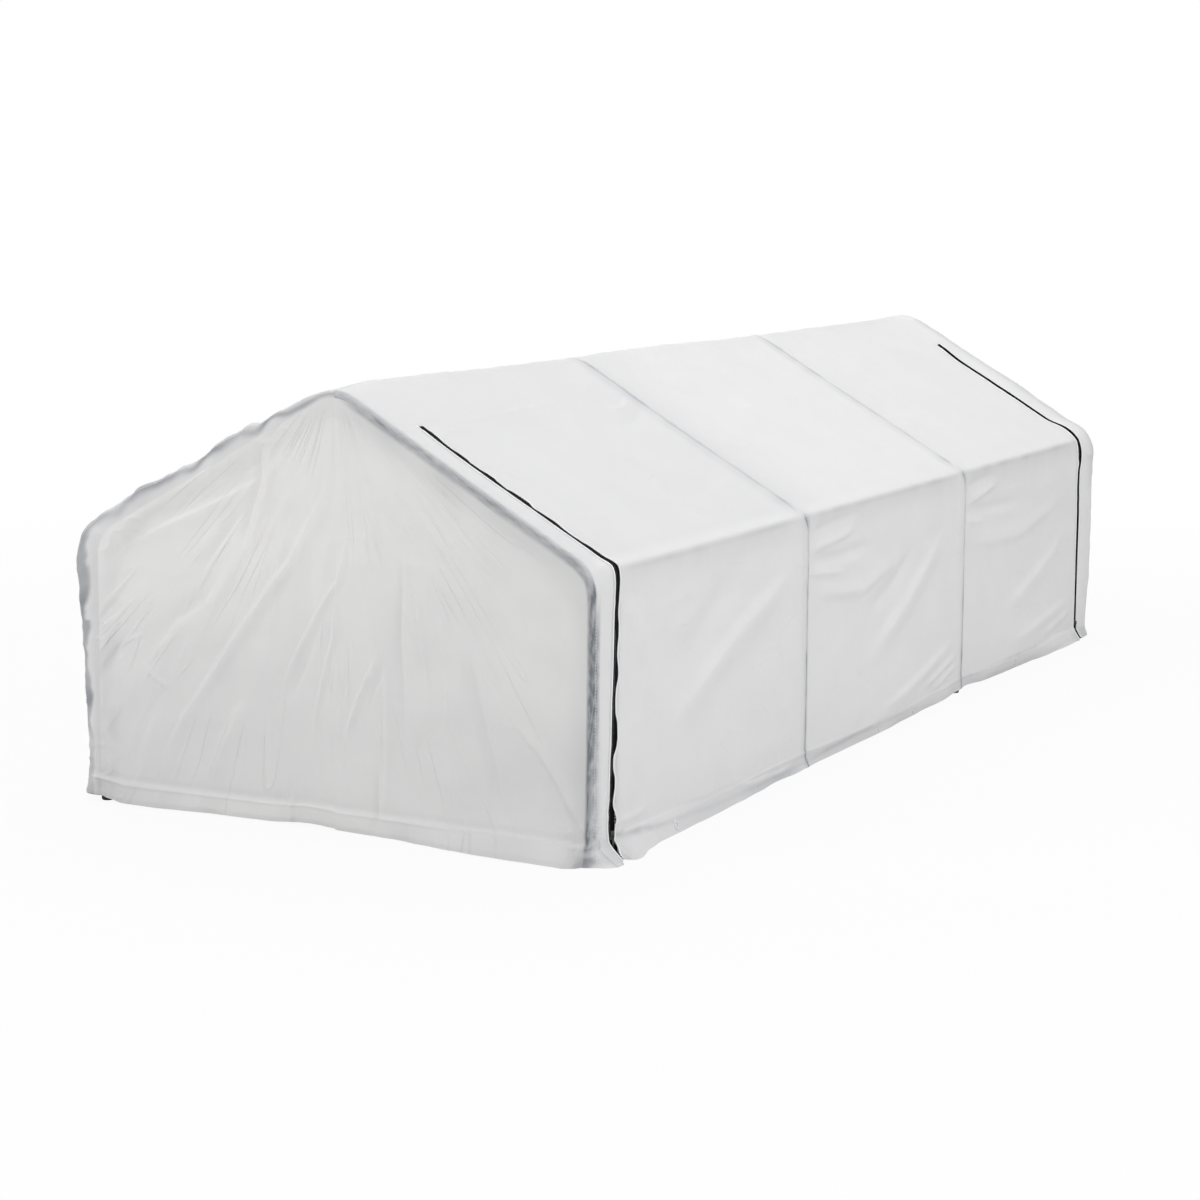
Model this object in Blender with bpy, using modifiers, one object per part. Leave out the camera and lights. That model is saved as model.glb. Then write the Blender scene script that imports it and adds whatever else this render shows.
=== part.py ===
# Mini greenhouse for a 3 ft by 8 ft raised bed: four tube ribs, purlins, a cloth
# cover with two gables and a roll-up side that two zippers close.
# Metres, +Z up. +X is the zippered side, -Y the front gable. The origin is the
# centre of the outline on the ground.
import math

import bmesh
import bpy
from mathutils import Matrix, Vector

# Frame
TUBE_OD = 0.019
TUBE_WALL = 0.001
SIDES = 12
FRAME_WIDTH = 0.914
FRAME_LENGTH = 2.438
RIB_COUNT = 4
EAVE_HEIGHT = 0.445
RIDGE_HEIGHT = 0.697
BEND_RADIUS = 0.060
BEND_STEPS = 4
SHOULDER_LENGTH = 0.110
ELBOW_ARM = 0.070
SPIGOT_LENGTH = 0.050
SWAGE_LENGTH = 0.002
STUB_LENGTH = 0.035
SLIP_GAP = 0.0003
BUTT_GAP = 0.0006
WELD_DISTANCE = 0.00001

# Foot caps
CAP_WALL = 0.0008
CAP_HEIGHT = 0.0128
CAP_BASE = 0.0042
CAP_TAPER = 0.0008
CAP_CHAMFER = 0.0012

# Cover
CLOTH_THICKNESS = 0.0006
FOLD_THICKNESS = 0.0015
CLOTH_GAP = 0.0003
HEM_BOTTOM = 0.0135
GABLE_HEM_HEIGHT = 0.030
WALL_HEM_HEIGHT = 0.022
POCKET_WIDTH = 0.006
FOLD_EDGE = 0.0008
WALL_BILLOW = 0.010
BILLOW_STEPS = 4
FLAP_TOP_SHARE = 0.27
GABLE_COLUMNS = 12
GABLE_WALL_STEPS = 4
GABLE_ROOF_STEPS = 3
GABLE_FOLD = 0.004
WRAP_STEPS = SIDES // 4
STRIP_FOLD = 0.006

# Zippers
ZIP_FROM_END = 0.055
ZIP_OPENING = 0.0200
HINGE_GAP = 0.0001
TAPE_THICKNESS = 0.0008
COIL_THICKNESS = 0.0018
COIL_WIDTH = 0.0016
COIL_GAP = 0.0012
COIL_EDGE = 0.0001
SLIDER_LENGTH = 0.016
SLIDER_HALF_WIDTH = 0.0055
SLIDER_PLATE = 0.0012
SLIDER_WEB = 0.0006
SLIDER_CLEARANCE = 0.0003
SLIDER_BOTTOM = 0.028
PULL_LENGTH = 0.024
PULL_WIDTH = 0.0054
PULL_THICKNESS = 0.0010
PULL_EYE_WIDTH = 0.0026
PULL_EYE_LENGTH = 0.0070
ARCH_WIDTH = 0.0016
ARCH_REACH = 0.0030
ARCH_BAR = 0.0008

# What follows from them
TUBE_R = TUBE_OD / 2
BORE_R = TUBE_R - TUBE_WALL
SPIGOT_R = BORE_R - SLIP_GAP
SPIGOT_BORE_R = SPIGOT_R - TUBE_WALL
LEG_X = FRAME_WIDTH / 2 - TUBE_R
END_Y = FRAME_LENGTH / 2 - TUBE_R
RIB_PITCH = 2 * END_Y / (RIB_COUNT - 1)
RIB_Y = [-END_Y + RIB_PITCH * i for i in range(RIB_COUNT)]
SLOPE = math.atan2(RIDGE_HEIGHT - EAVE_HEIGHT, LEG_X)
RAFTER_RUN = LEG_X / math.cos(SLOPE)
UP_SLOPE = Vector((-math.cos(SLOPE), 0, math.sin(SLOPE)))
ROOF_NORMAL = Vector((math.sin(SLOPE), 0, math.cos(SLOPE)))
EAVE = Vector((LEG_X, 0, EAVE_HEIGHT))
APEX = Vector((0, 0, RIDGE_HEIGHT))
EAVE_TANGENT = BEND_RADIUS * math.tan((math.pi / 2 - SLOPE) / 2)
EAVE_CENTRE = EAVE - Vector((BEND_RADIUS, 0, EAVE_TANGENT))
RIDGE_CENTRE = APEX - Vector((0, 0, BEND_RADIUS / math.cos(SLOPE)))
CLOTH_R = TUBE_R + CLOTH_GAP
HINGE_R = CLOTH_R + COIL_THICKNESS + HINGE_GAP
ZIP_Y = END_Y - ZIP_FROM_END
LEG_BOTTOM = CAP_BASE + CLOTH_GAP


def clear_scene():
    for item in list(bpy.data.objects):
        bpy.data.objects.remove(item, do_unlink=True)


def collection(name):
    made = bpy.data.collections.new(name)
    bpy.context.scene.collection.children.link(made)
    return made


def material(name, colour, roughness, metallic=0.0):
    made = bpy.data.materials.get(name)
    if made is None:
        made = bpy.data.materials.new(name)
        made.use_nodes = True
        shader = made.node_tree.nodes["Principled BSDF"]
        shader.inputs["Base Color"].default_value = (*colour, 1)
        shader.inputs["Roughness"].default_value = roughness
        shader.inputs["Metallic"].default_value = metallic
        made.diffuse_color = (*colour, 1)
    return made


def steel():
    return material("galvanised_tube", (0.50, 0.52, 0.54), 0.38, 1.0)


def plastic():
    return material("black_cap_plastic", (0.025, 0.025, 0.028), 0.5)


def cloth():
    return material("white_woven_sheet", (0.86, 0.87, 0.88), 0.45)


def tape():
    return material("black_zip_tape", (0.02, 0.02, 0.022), 0.7)


def zinc():
    return material("dark_zinc_slider", (0.10, 0.10, 0.11), 0.35, 1.0)


def add(name, mesh, surface, place=(0, 0, 0), parent=None, turn=(0, 0, 0)):
    """A part at place in the scene, also where it has a parent."""
    made = bpy.data.objects.new(name, mesh)
    made.location = Vector(place) - where(parent)
    made.rotation_euler = turn
    made.parent = parent
    if not mesh.materials:
        mesh.materials.append(surface)
    parts.objects.link(made)
    return made


def where(item):
    """An unturned object's place in the scene."""
    found = Vector((0, 0, 0))
    while item is not None:
        found += item.location
        item = item.parent
    return found


def empty(name, place, parent=None):
    made = bpy.data.objects.new(name, None)
    made.location = Vector(place) - where(parent)
    made.parent = parent
    made.empty_display_size = 0.05
    parts.objects.link(made)
    return made


def cutter(name, mesh):
    made = bpy.data.objects.new(name, mesh)
    made.hide_render = True
    made.display_type = "WIRE"
    cutters.objects.link(made)
    return made


def smooth(mesh, angle=40):
    mesh.shade_smooth()
    mesh.set_sharp_from_angle(angle=math.radians(angle))


def box(name, low, high):
    work = bmesh.new()
    bmesh.ops.create_cube(work, size=1)
    low = Vector(low)
    high = Vector(high)
    bmesh.ops.scale(work, vec=high - low, verts=work.verts)
    bmesh.ops.translate(work, vec=(low + high) / 2, verts=work.verts)
    mesh = bpy.data.meshes.new(name)
    work.to_mesh(mesh)
    work.free()
    return mesh


def rod(name, radius, start, end):
    """A round bar along Y from start to end."""
    work = bmesh.new()
    start = Vector(start)
    end = Vector(end)
    bmesh.ops.create_cone(
        work, cap_ends=True, segments=SIDES, radius1=radius, radius2=radius,
        depth=(end - start).length, matrix=Matrix.Rotation(math.pi / 2, 4, "X"),
    )
    bmesh.ops.translate(work, vec=(start + end) / 2, verts=work.verts)
    mesh = bpy.data.meshes.new(name)
    work.to_mesh(mesh)
    work.free()
    return mesh


def bent_bar(name, points, radii):
    """A solid round bar through points, as a mesh with welded caps."""
    curve = bpy.data.curves.new(name, "CURVE")
    curve.dimensions = "3D"
    curve.twist_mode = "MINIMUM"
    curve.bevel_depth = TUBE_R
    curve.bevel_resolution = (SIDES - 4) // 2
    curve.use_fill_caps = True
    spline = curve.splines.new("POLY")
    spline.points.add(len(points) - 1)
    for slot, point, radius in zip(spline.points, points, radii):
        slot.co = (*point, 1)
        slot.radius = radius / TUBE_R
    guide = bpy.data.objects.new(name, curve)
    cutters.objects.link(guide)
    bpy.context.view_layer.update()
    shape = guide.evaluated_get(bpy.context.evaluated_depsgraph_get())
    mesh = bpy.data.meshes.new_from_object(shape)
    mesh.transform(guide.matrix_world)
    bpy.data.objects.remove(guide, do_unlink=True)
    bpy.data.curves.remove(curve)
    weld(mesh)
    mesh.materials.clear()
    return mesh


def weld(mesh):
    """Joins points that lie on each other and turns all faces outwards."""
    work = bmesh.new()
    work.from_mesh(mesh)
    bmesh.ops.remove_doubles(work, verts=work.verts, dist=WELD_DISTANCE)
    bmesh.ops.recalc_face_normals(work, faces=work.faces)
    work.to_mesh(mesh)
    work.free()


def combine(name, base, steps):
    """The mesh that base becomes after the Boolean steps (operation, mesh)."""
    made = cutter(name, base)
    for number, (operation, mesh) in enumerate(steps):
        tool = cutter(f"{name}_tool_{number}", mesh)
        step = made.modifiers.new(operation.lower(), "BOOLEAN")
        step.operation = operation
        step.solver = "EXACT"
        step.object = tool
    bpy.context.view_layer.update()
    shape = made.evaluated_get(bpy.context.evaluated_depsgraph_get())
    mesh = bpy.data.meshes.new_from_object(shape)
    mesh.name = name
    weld(mesh)
    for item in [made] + [step.object for step in made.modifiers]:
        bpy.data.objects.remove(item, do_unlink=True)
    mesh.materials.clear()
    return mesh


def eave_arc(radius):
    """Points round the right eave bend, from the roof down, with normals."""
    found = []
    for i in range(BEND_STEPS + 1):
        angle = SLOPE + (math.pi / 2 - SLOPE) * i / BEND_STEPS
        normal = Vector((math.sin(angle), 0, math.cos(angle)))
        found.append((EAVE_CENTRE + normal * radius, normal))
    return found


def ridge_arc(radius):
    """Points over the ridge bend, from the left slope to the right one."""
    found = []
    for i in range(BEND_STEPS + 1):
        angle = -SLOPE + 2 * SLOPE * i / BEND_STEPS
        normal = Vector((math.sin(angle), 0, math.cos(angle)))
        found.append((RIDGE_CENTRE + normal * radius, normal))
    return found


def swaged_end(points, radii, direction, small):
    """Adds a step down and a spigot that a tube slips over."""
    end = points[-1]
    points.append(end + direction * SWAGE_LENGTH)
    radii.append(small)
    points.append(end + direction * (SWAGE_LENGTH + SPIGOT_LENGTH))
    radii.append(small)
    return points, radii


def stub_steps(centre, sides):
    """Boolean steps for the welded stubs on one or both Y sides of a rib."""
    outer = TUBE_R + BUTT_GAP + STUB_LENGTH
    low = -outer if -1 in sides else 0
    high = outer if 1 in sides else 0
    joins = rod("stub", SPIGOT_R, centre + Vector((0, low, 0)), centre + Vector((0, high, 0)))
    low = -2 * outer if -1 in sides else 0
    high = 2 * outer if 1 in sides else 0
    bores = rod("stub_bore", SPIGOT_BORE_R, centre + Vector((0, low, 0)), centre + Vector((0, high, 0)))
    return joins, bores


def leg_mesh(name, sides):
    """A right-hand leg: post, eave bend, shoulder, spigot and purlin stubs."""
    bend = [point for point, normal in reversed(eave_arc(BEND_RADIUS))]
    shoulder = EAVE + UP_SLOPE * SHOULDER_LENGTH
    points = [Vector((LEG_X, 0, LEG_BOTTOM))] + bend + [shoulder]
    radii = [TUBE_R] * len(points)
    points, radii = swaged_end(points, radii, UP_SLOPE, SPIGOT_R)
    bore_points = [Vector((LEG_X, 0, LEG_BOTTOM - 0.01))] + bend + [shoulder - UP_SLOPE * TUBE_WALL]
    bore_radii = [BORE_R] * len(bore_points)
    bore_points, bore_radii = swaged_end(bore_points, bore_radii, UP_SLOPE, SPIGOT_BORE_R)
    bore_points[-1] = bore_points[-1] + UP_SLOPE * 0.01
    middle = EAVE_CENTRE + eave_arc(BEND_RADIUS)[BEND_STEPS // 2][1] * BEND_RADIUS
    joins, bores = stub_steps(middle, sides)
    mesh = combine(name, bent_bar("post", points, radii), [
        ("UNION", joins),
        ("DIFFERENCE", bent_bar("bore", bore_points, bore_radii)),
        ("DIFFERENCE", bores),
    ])
    smooth(mesh)
    return mesh


def elbow_mesh(name, sides):
    """A ridge elbow: two arms with spigots, and purlin stubs at the top."""
    down_right = -UP_SLOPE
    down_left = Vector((UP_SLOPE.x, 0, -UP_SLOPE.z))

    def run(full, small, shift, extra):
        points = [point for point, normal in ridge_arc(BEND_RADIUS)]
        radii = [full] * len(points)
        points.append(APEX + down_right * (ELBOW_ARM - shift))
        radii.append(full)
        points, radii = swaged_end(points, radii, down_right, small)
        points[-1] = points[-1] + down_right * extra
        points.reverse()
        radii.reverse()
        points.append(APEX + down_left * (ELBOW_ARM - shift))
        radii.append(full)
        points, radii = swaged_end(points, radii, down_left, small)
        points[-1] = points[-1] + down_left * extra
        return points, radii

    bar = bent_bar("elbow", *run(TUBE_R, SPIGOT_R, 0, 0))
    bore = bent_bar("bore", *run(BORE_R, SPIGOT_BORE_R, TUBE_WALL, 0.01))
    joins, bores = stub_steps(RIDGE_CENTRE + Vector((0, 0, BEND_RADIUS)), sides)
    mesh = combine(name, bar, [("UNION", joins), ("DIFFERENCE", bore), ("DIFFERENCE", bores)])
    smooth(mesh)
    return mesh


def turned(name, profile, closed, surface, place, turn=(0, 0, 0)):
    """A profile in the XZ plane, turned about the local Z axis."""
    mesh = bpy.data.meshes.new(name)
    edges = [(i, i + 1) for i in range(len(profile) - 1)]
    if closed:
        edges.append((len(profile) - 1, 0))
    mesh.from_pydata([(r, 0, z) for r, z in profile], edges, [])
    made = add(name, mesh, surface, place, turn=turn)
    screw = made.modifiers.new("turn", "SCREW")
    screw.steps = SIDES
    screw.render_steps = SIDES
    screw.use_merge_vertices = True
    screw.merge_threshold = WELD_DISTANCE
    screw.use_normal_calculate = False
    screw.use_smooth_shade = True
    return made


def straight_tube(name, length, place, turn):
    half = length / 2
    profile = [(TUBE_R, half), (TUBE_R, -half), (BORE_R, -half), (BORE_R, half)]
    return turned(name, profile, True, steel(), place, turn)


def foot_cap(name, x, y):
    inner = TUBE_R + SLIP_GAP
    outer = inner + CAP_WALL
    base = outer - CAP_TAPER
    profile = [
        (0, CAP_BASE), (inner, CAP_BASE), (inner, CAP_HEIGHT), (outer, CAP_HEIGHT),
        (base, CAP_CHAMFER), (base - CAP_CHAMFER, 0), (0, 0),
    ]
    return turned(name, profile, False, plastic(), (x, y, 0))


def panel(name, rows, columns, surface, thick, thin, place=(0, 0, 0), parent=None, billow=None, keep=None):
    """An open sheet through rows x columns, thickened outwards by a modifier.

    rows run from the right foot over the ridge to the left foot, each (point,
    normal, folded). columns run to +Y, each (y, folded, turn), where turn lays
    the column round the end rib's tube. Folded rows and columns are thicker.
    """
    across = len(columns) - 1
    down = len(rows) - 1
    work = bmesh.new()
    bmesh.ops.create_grid(work, x_segments=across, y_segments=down, size=1)
    weight = work.verts.layers.deform.verify()
    spots = {}
    for vert in work.verts:
        i = round((vert.co.x + 1) / 2 * across)
        j = round((vert.co.y + 1) / 2 * down)
        point, normal, row_folded = rows[j]
        y, column_folded, turn = columns[i]
        lift = normal * math.cos(turn) + Vector((0, math.sin(turn), 0))
        vert.co = point + Vector((0, y, 0)) + lift * CLOTH_R
        if billow is not None:
            vert.co += normal * billow(point.z, y)
        vert.co -= Vector(place)
        vert[weight][0] = 1.0 if row_folded or column_folded else 0.0
        spots[vert] = (i, j)
    if keep is not None:
        unwanted = []
        for face in work.faces:
            i = min(spots[vert][0] for vert in face.verts)
            j = min(spots[vert][1] for vert in face.verts)
            if not keep(i, j):
                unwanted.append(face)
        bmesh.ops.delete(work, geom=unwanted, context="FACES")
    return thicken(name, work, surface, thick, thin, place, parent)


def thicken(name, work, surface, thick, thin, place=(0, 0, 0), parent=None):
    mesh = bpy.data.meshes.new(name)
    work.to_mesh(mesh)
    work.free()
    made = add(name, mesh, surface, place, parent)
    made.vertex_groups.new(name="folds")
    solid = made.modifiers.new("thickness", "SOLIDIFY")
    solid.thickness = thick
    solid.offset = 1.0
    solid.vertex_group = "folds"
    solid.thickness_vertex_group = thin / thick
    return made


def gable(name, side):
    """A gable sheet inside the end wrap's edge: a hem band, and soft folds that
    fan out from the ridge because each column narrows with the outline."""
    hem_top = HEM_BOTTOM + GABLE_HEM_HEIGHT
    levels = [(HEM_BOTTOM, True), (hem_top, True), (hem_top + FOLD_EDGE, False)]
    gap = (EAVE_CENTRE.z - hem_top) / GABLE_WALL_STEPS
    levels += [(hem_top + gap * i, False) for i in range(1, GABLE_WALL_STEPS)]
    outline = [(LEG_X - CLOTH_GAP, z, folded) for z, folded in levels]
    bend = [point for point, normal in reversed(eave_arc(BEND_RADIUS - CLOTH_GAP))]
    crest = [point for point, normal in reversed(ridge_arc(BEND_RADIUS - CLOTH_GAP)[BEND_STEPS // 2:])]
    share = [i / GABLE_ROOF_STEPS for i in range(1, GABLE_ROOF_STEPS)]
    slope = [bend[-1].lerp(crest[0], part) for part in share]
    outline += [(point.x, point.z, False) for point in bend + slope + crest]
    work = bmesh.new()
    down = len(outline) - 1
    bmesh.ops.create_grid(work, x_segments=GABLE_COLUMNS, y_segments=down, size=1)
    weight = work.verts.layers.deform.verify()
    for vert in work.verts:
        column = round((vert.co.x + 1) / 2 * GABLE_COLUMNS)
        half, z, folded = outline[round((vert.co.y + 1) / 2 * down)]
        rise = min(max((z - hem_top) / (crest[0].z - hem_top), 0), 1)
        fold = GABLE_FOLD * (column % 2) * math.sin(math.pi * rise)
        vert.co = Vector((-side * vert.co.x * half, side * (END_Y + CLOTH_R + fold), z))
        vert[weight][0] = 1.0 if folded else 0.0
    bmesh.ops.remove_doubles(work, verts=work.verts, dist=WELD_DISTANCE)
    return thicken(name, work, cloth(), FOLD_THICKNESS, CLOTH_THICKNESS)


def bay_columns(low, high, steps):
    """Columns from low to high with a raised pocket over each inner rib."""
    marks = [low] + RIB_Y[1:-1] + [high]
    found = []
    for number in range(len(marks) - 1):
        start = marks[number]
        end = marks[number + 1]
        if number > 0:
            start += POCKET_WIDTH / 2
            found.append((start, True, 0))
            start += FOLD_EDGE
        if number < len(marks) - 2:
            end -= POCKET_WIDTH / 2 + FOLD_EDGE
        found += [(start + (end - start) * i / steps, False, 0) for i in range(steps + 1)]
        if number < len(marks) - 2:
            found.append((end + FOLD_EDGE, True, 0))
    return found


def billow_between(low, high):
    """How far a wall stands out between ribs: most above its tucked-in hem."""
    marks = [low] + RIB_Y[1:-1] + [high]
    foot = HEM_BOTTOM + WALL_HEM_HEIGHT

    def billow(z, y):
        if z < foot:
            rise = (z - HEM_BOTTOM) / WALL_HEM_HEIGHT
        else:
            rise = 1 - min((z - foot) / (EAVE_CENTRE.z - foot), 1) ** 1.5
        for start, end in zip(marks, marks[1:]):
            if start <= y <= end:
                return WALL_BILLOW * rise * math.sin(math.pi * (y - start) / (end - start))
        return 0

    return billow


def tape_columns(side, fixed):
    """Columns of one zipper tape, from its sewn edge to its coil."""
    away = side if fixed else -side
    middle = side * ZIP_Y
    coil = COIL_GAP / 2
    found = [
        (middle + away * (ZIP_OPENING / 2 - CLOTH_GAP), False, 0),
        (middle + away * (coil + COIL_WIDTH + COIL_EDGE), False, 0),
        (middle + away * (coil + COIL_WIDTH), True, 0),
        (middle + away * coil, True, 0),
    ]
    return sorted(found)


def plain(stations):
    return [(point, normal, False) for point, normal in stations]


def wall_rows(top, steps):
    """Rows up a right-hand wall: a folded hem band, then the sheet."""
    out = Vector((1, 0, 0))
    hem_top = HEM_BOTTOM + WALL_HEM_HEIGHT
    start = hem_top + FOLD_EDGE
    rows = [(HEM_BOTTOM, True), (hem_top, True)]
    rows += [(start + (top - start) * i / steps, False) for i in range(steps + 1)]
    return [(Vector((LEG_X, 0, z)), out, folded) for z, folded in rows]


def to_left(rows):
    flip = Vector((-1, 1, 1))
    return [(point * flip, normal * flip, folded) for point, normal, folded in reversed(rows)]


def slid(station, distance):
    """The station moved along the path towards the ridge and the left foot."""
    point, normal = station
    return (point + Vector((-normal.z, 0, normal.x)) * distance, normal)


def build_frame():
    legs = {
        "front": leg_mesh("leg_end_front", (1,)),
        "inner": leg_mesh("leg_inner", (-1, 1)),
        "back": leg_mesh("leg_end_back", (-1,)),
    }
    elbows = {"end": elbow_mesh("elbow_end", (1,)), "inner": elbow_mesh("elbow_inner", (-1, 1))}
    rafter_start = SHOULDER_LENGTH + SWAGE_LENGTH
    rafter_end = RAFTER_RUN - ELBOW_ARM - SWAGE_LENGTH
    rafter_middle = EAVE + UP_SLOPE * (rafter_start + rafter_end) / 2
    half_turn = (0, 0, math.pi)
    for number, y in enumerate(RIB_Y, 1):
        first = number == 1
        last = number == RIB_COUNT
        right = legs["front" if first else "back" if last else "inner"]
        left = legs["back" if first else "front" if last else "inner"]
        add(f"leg_right_{number}", right, steel(), (0, y, 0))
        add(f"leg_left_{number}", left, steel(), (0, y, 0), turn=half_turn)
        if first or last:
            add(f"ridge_elbow_{number}", elbows["end"], steel(), (0, y, 0), turn=half_turn if last else (0, 0, 0))
        else:
            add(f"ridge_elbow_{number}", elbows["inner"], steel(), (0, y, 0))
        for side, word in ((1, "right"), (-1, "left")):
            place = (side * rafter_middle.x, y, rafter_middle.z)
            turn = (0, -side * (math.pi / 2 - SLOPE), 0)
            straight_tube(f"rafter_{word}_{number}", rafter_end - rafter_start, place, turn)
            foot_cap(f"foot_cap_{word}_{number}", side * LEG_X, y)
    eave = eave_arc(BEND_RADIUS)[BEND_STEPS // 2][0]
    ridge = RIDGE_CENTRE + Vector((0, 0, BEND_RADIUS))
    length = RIB_PITCH - 2 * (TUBE_R + BUTT_GAP)
    along = (math.pi / 2, 0, 0)
    for number in range(1, RIB_COUNT):
        y = (RIB_Y[number - 1] + RIB_Y[number]) / 2
        straight_tube(f"purlin_ridge_{number}", length, (ridge.x, y, ridge.z), along)
        straight_tube(f"purlin_eave_right_{number}", length, (eave.x, y, eave.z), along)
        straight_tube(f"purlin_eave_left_{number}", length, (-eave.x, y, eave.z), along)


def build_cover(eave, ridge, top_line):
    sheet = (cloth(), FOLD_THICKNESS, CLOTH_THICKNESS)
    full = bay_columns(-END_Y + CLOTH_GAP, END_Y - CLOTH_GAP, 1)
    left_wall = to_left(wall_rows(eave[0][0].z - CLOTH_GAP, BILLOW_STEPS))
    left_roof = to_left(plain(eave) + plain([slid(ridge[0], -CLOTH_GAP)]))
    panel("cover_ridge_panel", plain([slid(top_line, CLOTH_GAP)] + ridge), full, *sheet)
    panel("cover_left_roof_panel", left_roof, full, *sheet)
    billowed = bay_columns(-END_Y + CLOTH_GAP, END_Y - CLOTH_GAP, BILLOW_STEPS)
    billow = billow_between(-END_Y, END_Y)
    panel("cover_left_wall_panel", left_wall, billowed, *sheet, billow=billow)
    gable("cover_front_gable", -1)
    gable("cover_back_gable", 1)

    wall = [wall_rows(eave[0][0].z, 1)[i] for i in (0, 1, 2)]
    up_to_line = wall + plain(eave + [top_line])
    rows = up_to_line + plain(ridge) + to_left(wall + plain(eave))
    for side, word in ((-1, "front"), (1, "back")):
        turns = [math.pi / 2 * i / WRAP_STEPS for i in range(WRAP_STEPS + 1)]
        columns = [(side * END_Y, False, side * turn) for turn in turns]
        strip_end = side * (ZIP_Y + ZIP_OPENING / 2)
        columns += [(strip_end + side * STRIP_FOLD, False, 0), (strip_end + side * (STRIP_FOLD - FOLD_EDGE), True, 0)]
        columns += [(strip_end, True, 0)]
        columns.sort(key=lambda column: column[0] + column[2] * 0.001)
        wrap = range(WRAP_STEPS) if side < 0 else range(3, 3 + WRAP_STEPS)

        def keep(i, j, wrap=wrap):
            return i in wrap or j < len(up_to_line) - 1

        panel(f"cover_end_wrap_{word}", rows, columns, *sheet, keep=keep)


def build_flap(eave, top_line):
    sheet = (cloth(), FOLD_THICKNESS, CLOTH_THICKNESS)
    tape_sheet = (tape(), COIL_THICKNESS, TAPE_THICKNESS)
    reach = ZIP_Y - ZIP_OPENING / 2
    roof_axis = empty("roof_flap_hinge", top_line[0] + top_line[1] * HINGE_R)
    wall_axis = empty("wall_flap_hinge", eave[0][0] + eave[0][1] * HINGE_R, roof_axis)
    roof_rows = plain([slid(eave[0], CLOTH_GAP)] + eave[1:] + [top_line])
    wall_top = eave[0][0].z
    panel("cover_roof_flap", roof_rows, bay_columns(-reach, reach, 1), *sheet, parent=roof_axis)
    wall = wall_rows(wall_top, BILLOW_STEPS)
    columns = bay_columns(-reach, reach, BILLOW_STEPS)
    panel("cover_wall_flap", wall, columns, *sheet, parent=wall_axis, billow=billow_between(-reach, reach))
    low = Vector((LEG_X, 0, HEM_BOTTOM))
    wall_line = plain([(low, eave[0][1]), eave[0]])
    for side, word in ((-1, "front"), (1, "back")):
        fixed = tape_columns(side, True)
        loose = tape_columns(side, False)
        panel(f"zip_tape_fixed_{word}", wall_line[:1] + plain(eave + [top_line]), fixed, *tape_sheet)
        panel(f"zip_tape_roof_flap_{word}", roof_rows, loose, *tape_sheet, parent=roof_axis)
        panel(f"zip_tape_wall_flap_{word}", wall_line, loose, *tape_sheet, parent=wall_axis)
        build_slider(side, word)


def build_slider(side, word):
    """Half slider: its outer plate clasps only the fixed side's coil."""
    face = LEG_X + CLOTH_R
    inner_top = face - SLIDER_CLEARANCE
    inner_low = inner_top - SLIDER_PLATE
    outer_low = face + COIL_THICKNESS + SLIDER_CLEARANCE
    outer_top = outer_low + SLIDER_PLATE
    axis_x = outer_top + PULL_THICKNESS / 2 + SLIDER_CLEARANCE * 5 / 3
    middle_z = SLIDER_BOTTOM + SLIDER_LENGTH / 2
    edge = SLIDER_WEB / 2
    middle = Vector((axis_x, side * (ZIP_Y + (SLIDER_HALF_WIDTH - edge) / 2), middle_z))

    def block(name, low, high):
        """A box given as (x, distance from the zip towards the end rib, z)."""
        ys = sorted((side * (ZIP_Y + low[1]), side * (ZIP_Y + high[1])))
        low = Vector((low[0], ys[0], low[2])) - middle
        high = Vector((high[0], ys[1], high[2])) - middle
        return box(name, low, high)

    top_z = SLIDER_BOTTOM + SLIDER_LENGTH
    reach = ARCH_REACH + ARCH_BAR
    arch_y = SLIDER_HALF_WIDTH / 2 - edge / 2
    bar_low = axis_x + PULL_THICKNESS / 2 + SLIDER_CLEARANCE * 5 / 3
    body = combine(f"slider_mesh_{word}", block(
        "outer", (outer_low, -edge, SLIDER_BOTTOM), (outer_top, SLIDER_HALF_WIDTH, top_z)), [
        ("UNION", block("web", (inner_top - SLIDER_PLATE / 2, -edge, SLIDER_BOTTOM + 0.0005),
                        (outer_low + SLIDER_PLATE / 2, edge, top_z - 0.0005))),
        ("UNION", block("inner", (inner_low, -SLIDER_HALF_WIDTH, SLIDER_BOTTOM + 0.001),
                        (inner_top, SLIDER_HALF_WIDTH, top_z - 0.001))),
        ("UNION", block("arch", (outer_low + SLIDER_PLATE / 2, arch_y - ARCH_WIDTH / 2, middle_z - reach),
                        (bar_low + ARCH_BAR, arch_y + ARCH_WIDTH / 2, middle_z + reach))),
        ("DIFFERENCE", block("window", (outer_top, arch_y - ARCH_WIDTH, middle_z - ARCH_REACH),
                             (bar_low, arch_y + ARCH_WIDTH, middle_z + ARCH_REACH))),
    ])
    slider = add(f"zip_slider_{word}", body, zinc(), middle)
    half = PULL_THICKNESS / 2
    eye = PULL_EYE_WIDTH / 2
    pull = combine(f"pull_mesh_{word}", box(
        "plate", (-half, -PULL_WIDTH / 2, -PULL_LENGTH), (half, PULL_WIDTH / 2, half)), [
        ("DIFFERENCE", box("eye", (-PULL_WIDTH, -eye, -PULL_EYE_LENGTH), (PULL_WIDTH, eye, -half))),
    ])
    add(f"zip_pull_{word}", pull, zinc(), middle, parent=slider)


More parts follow.
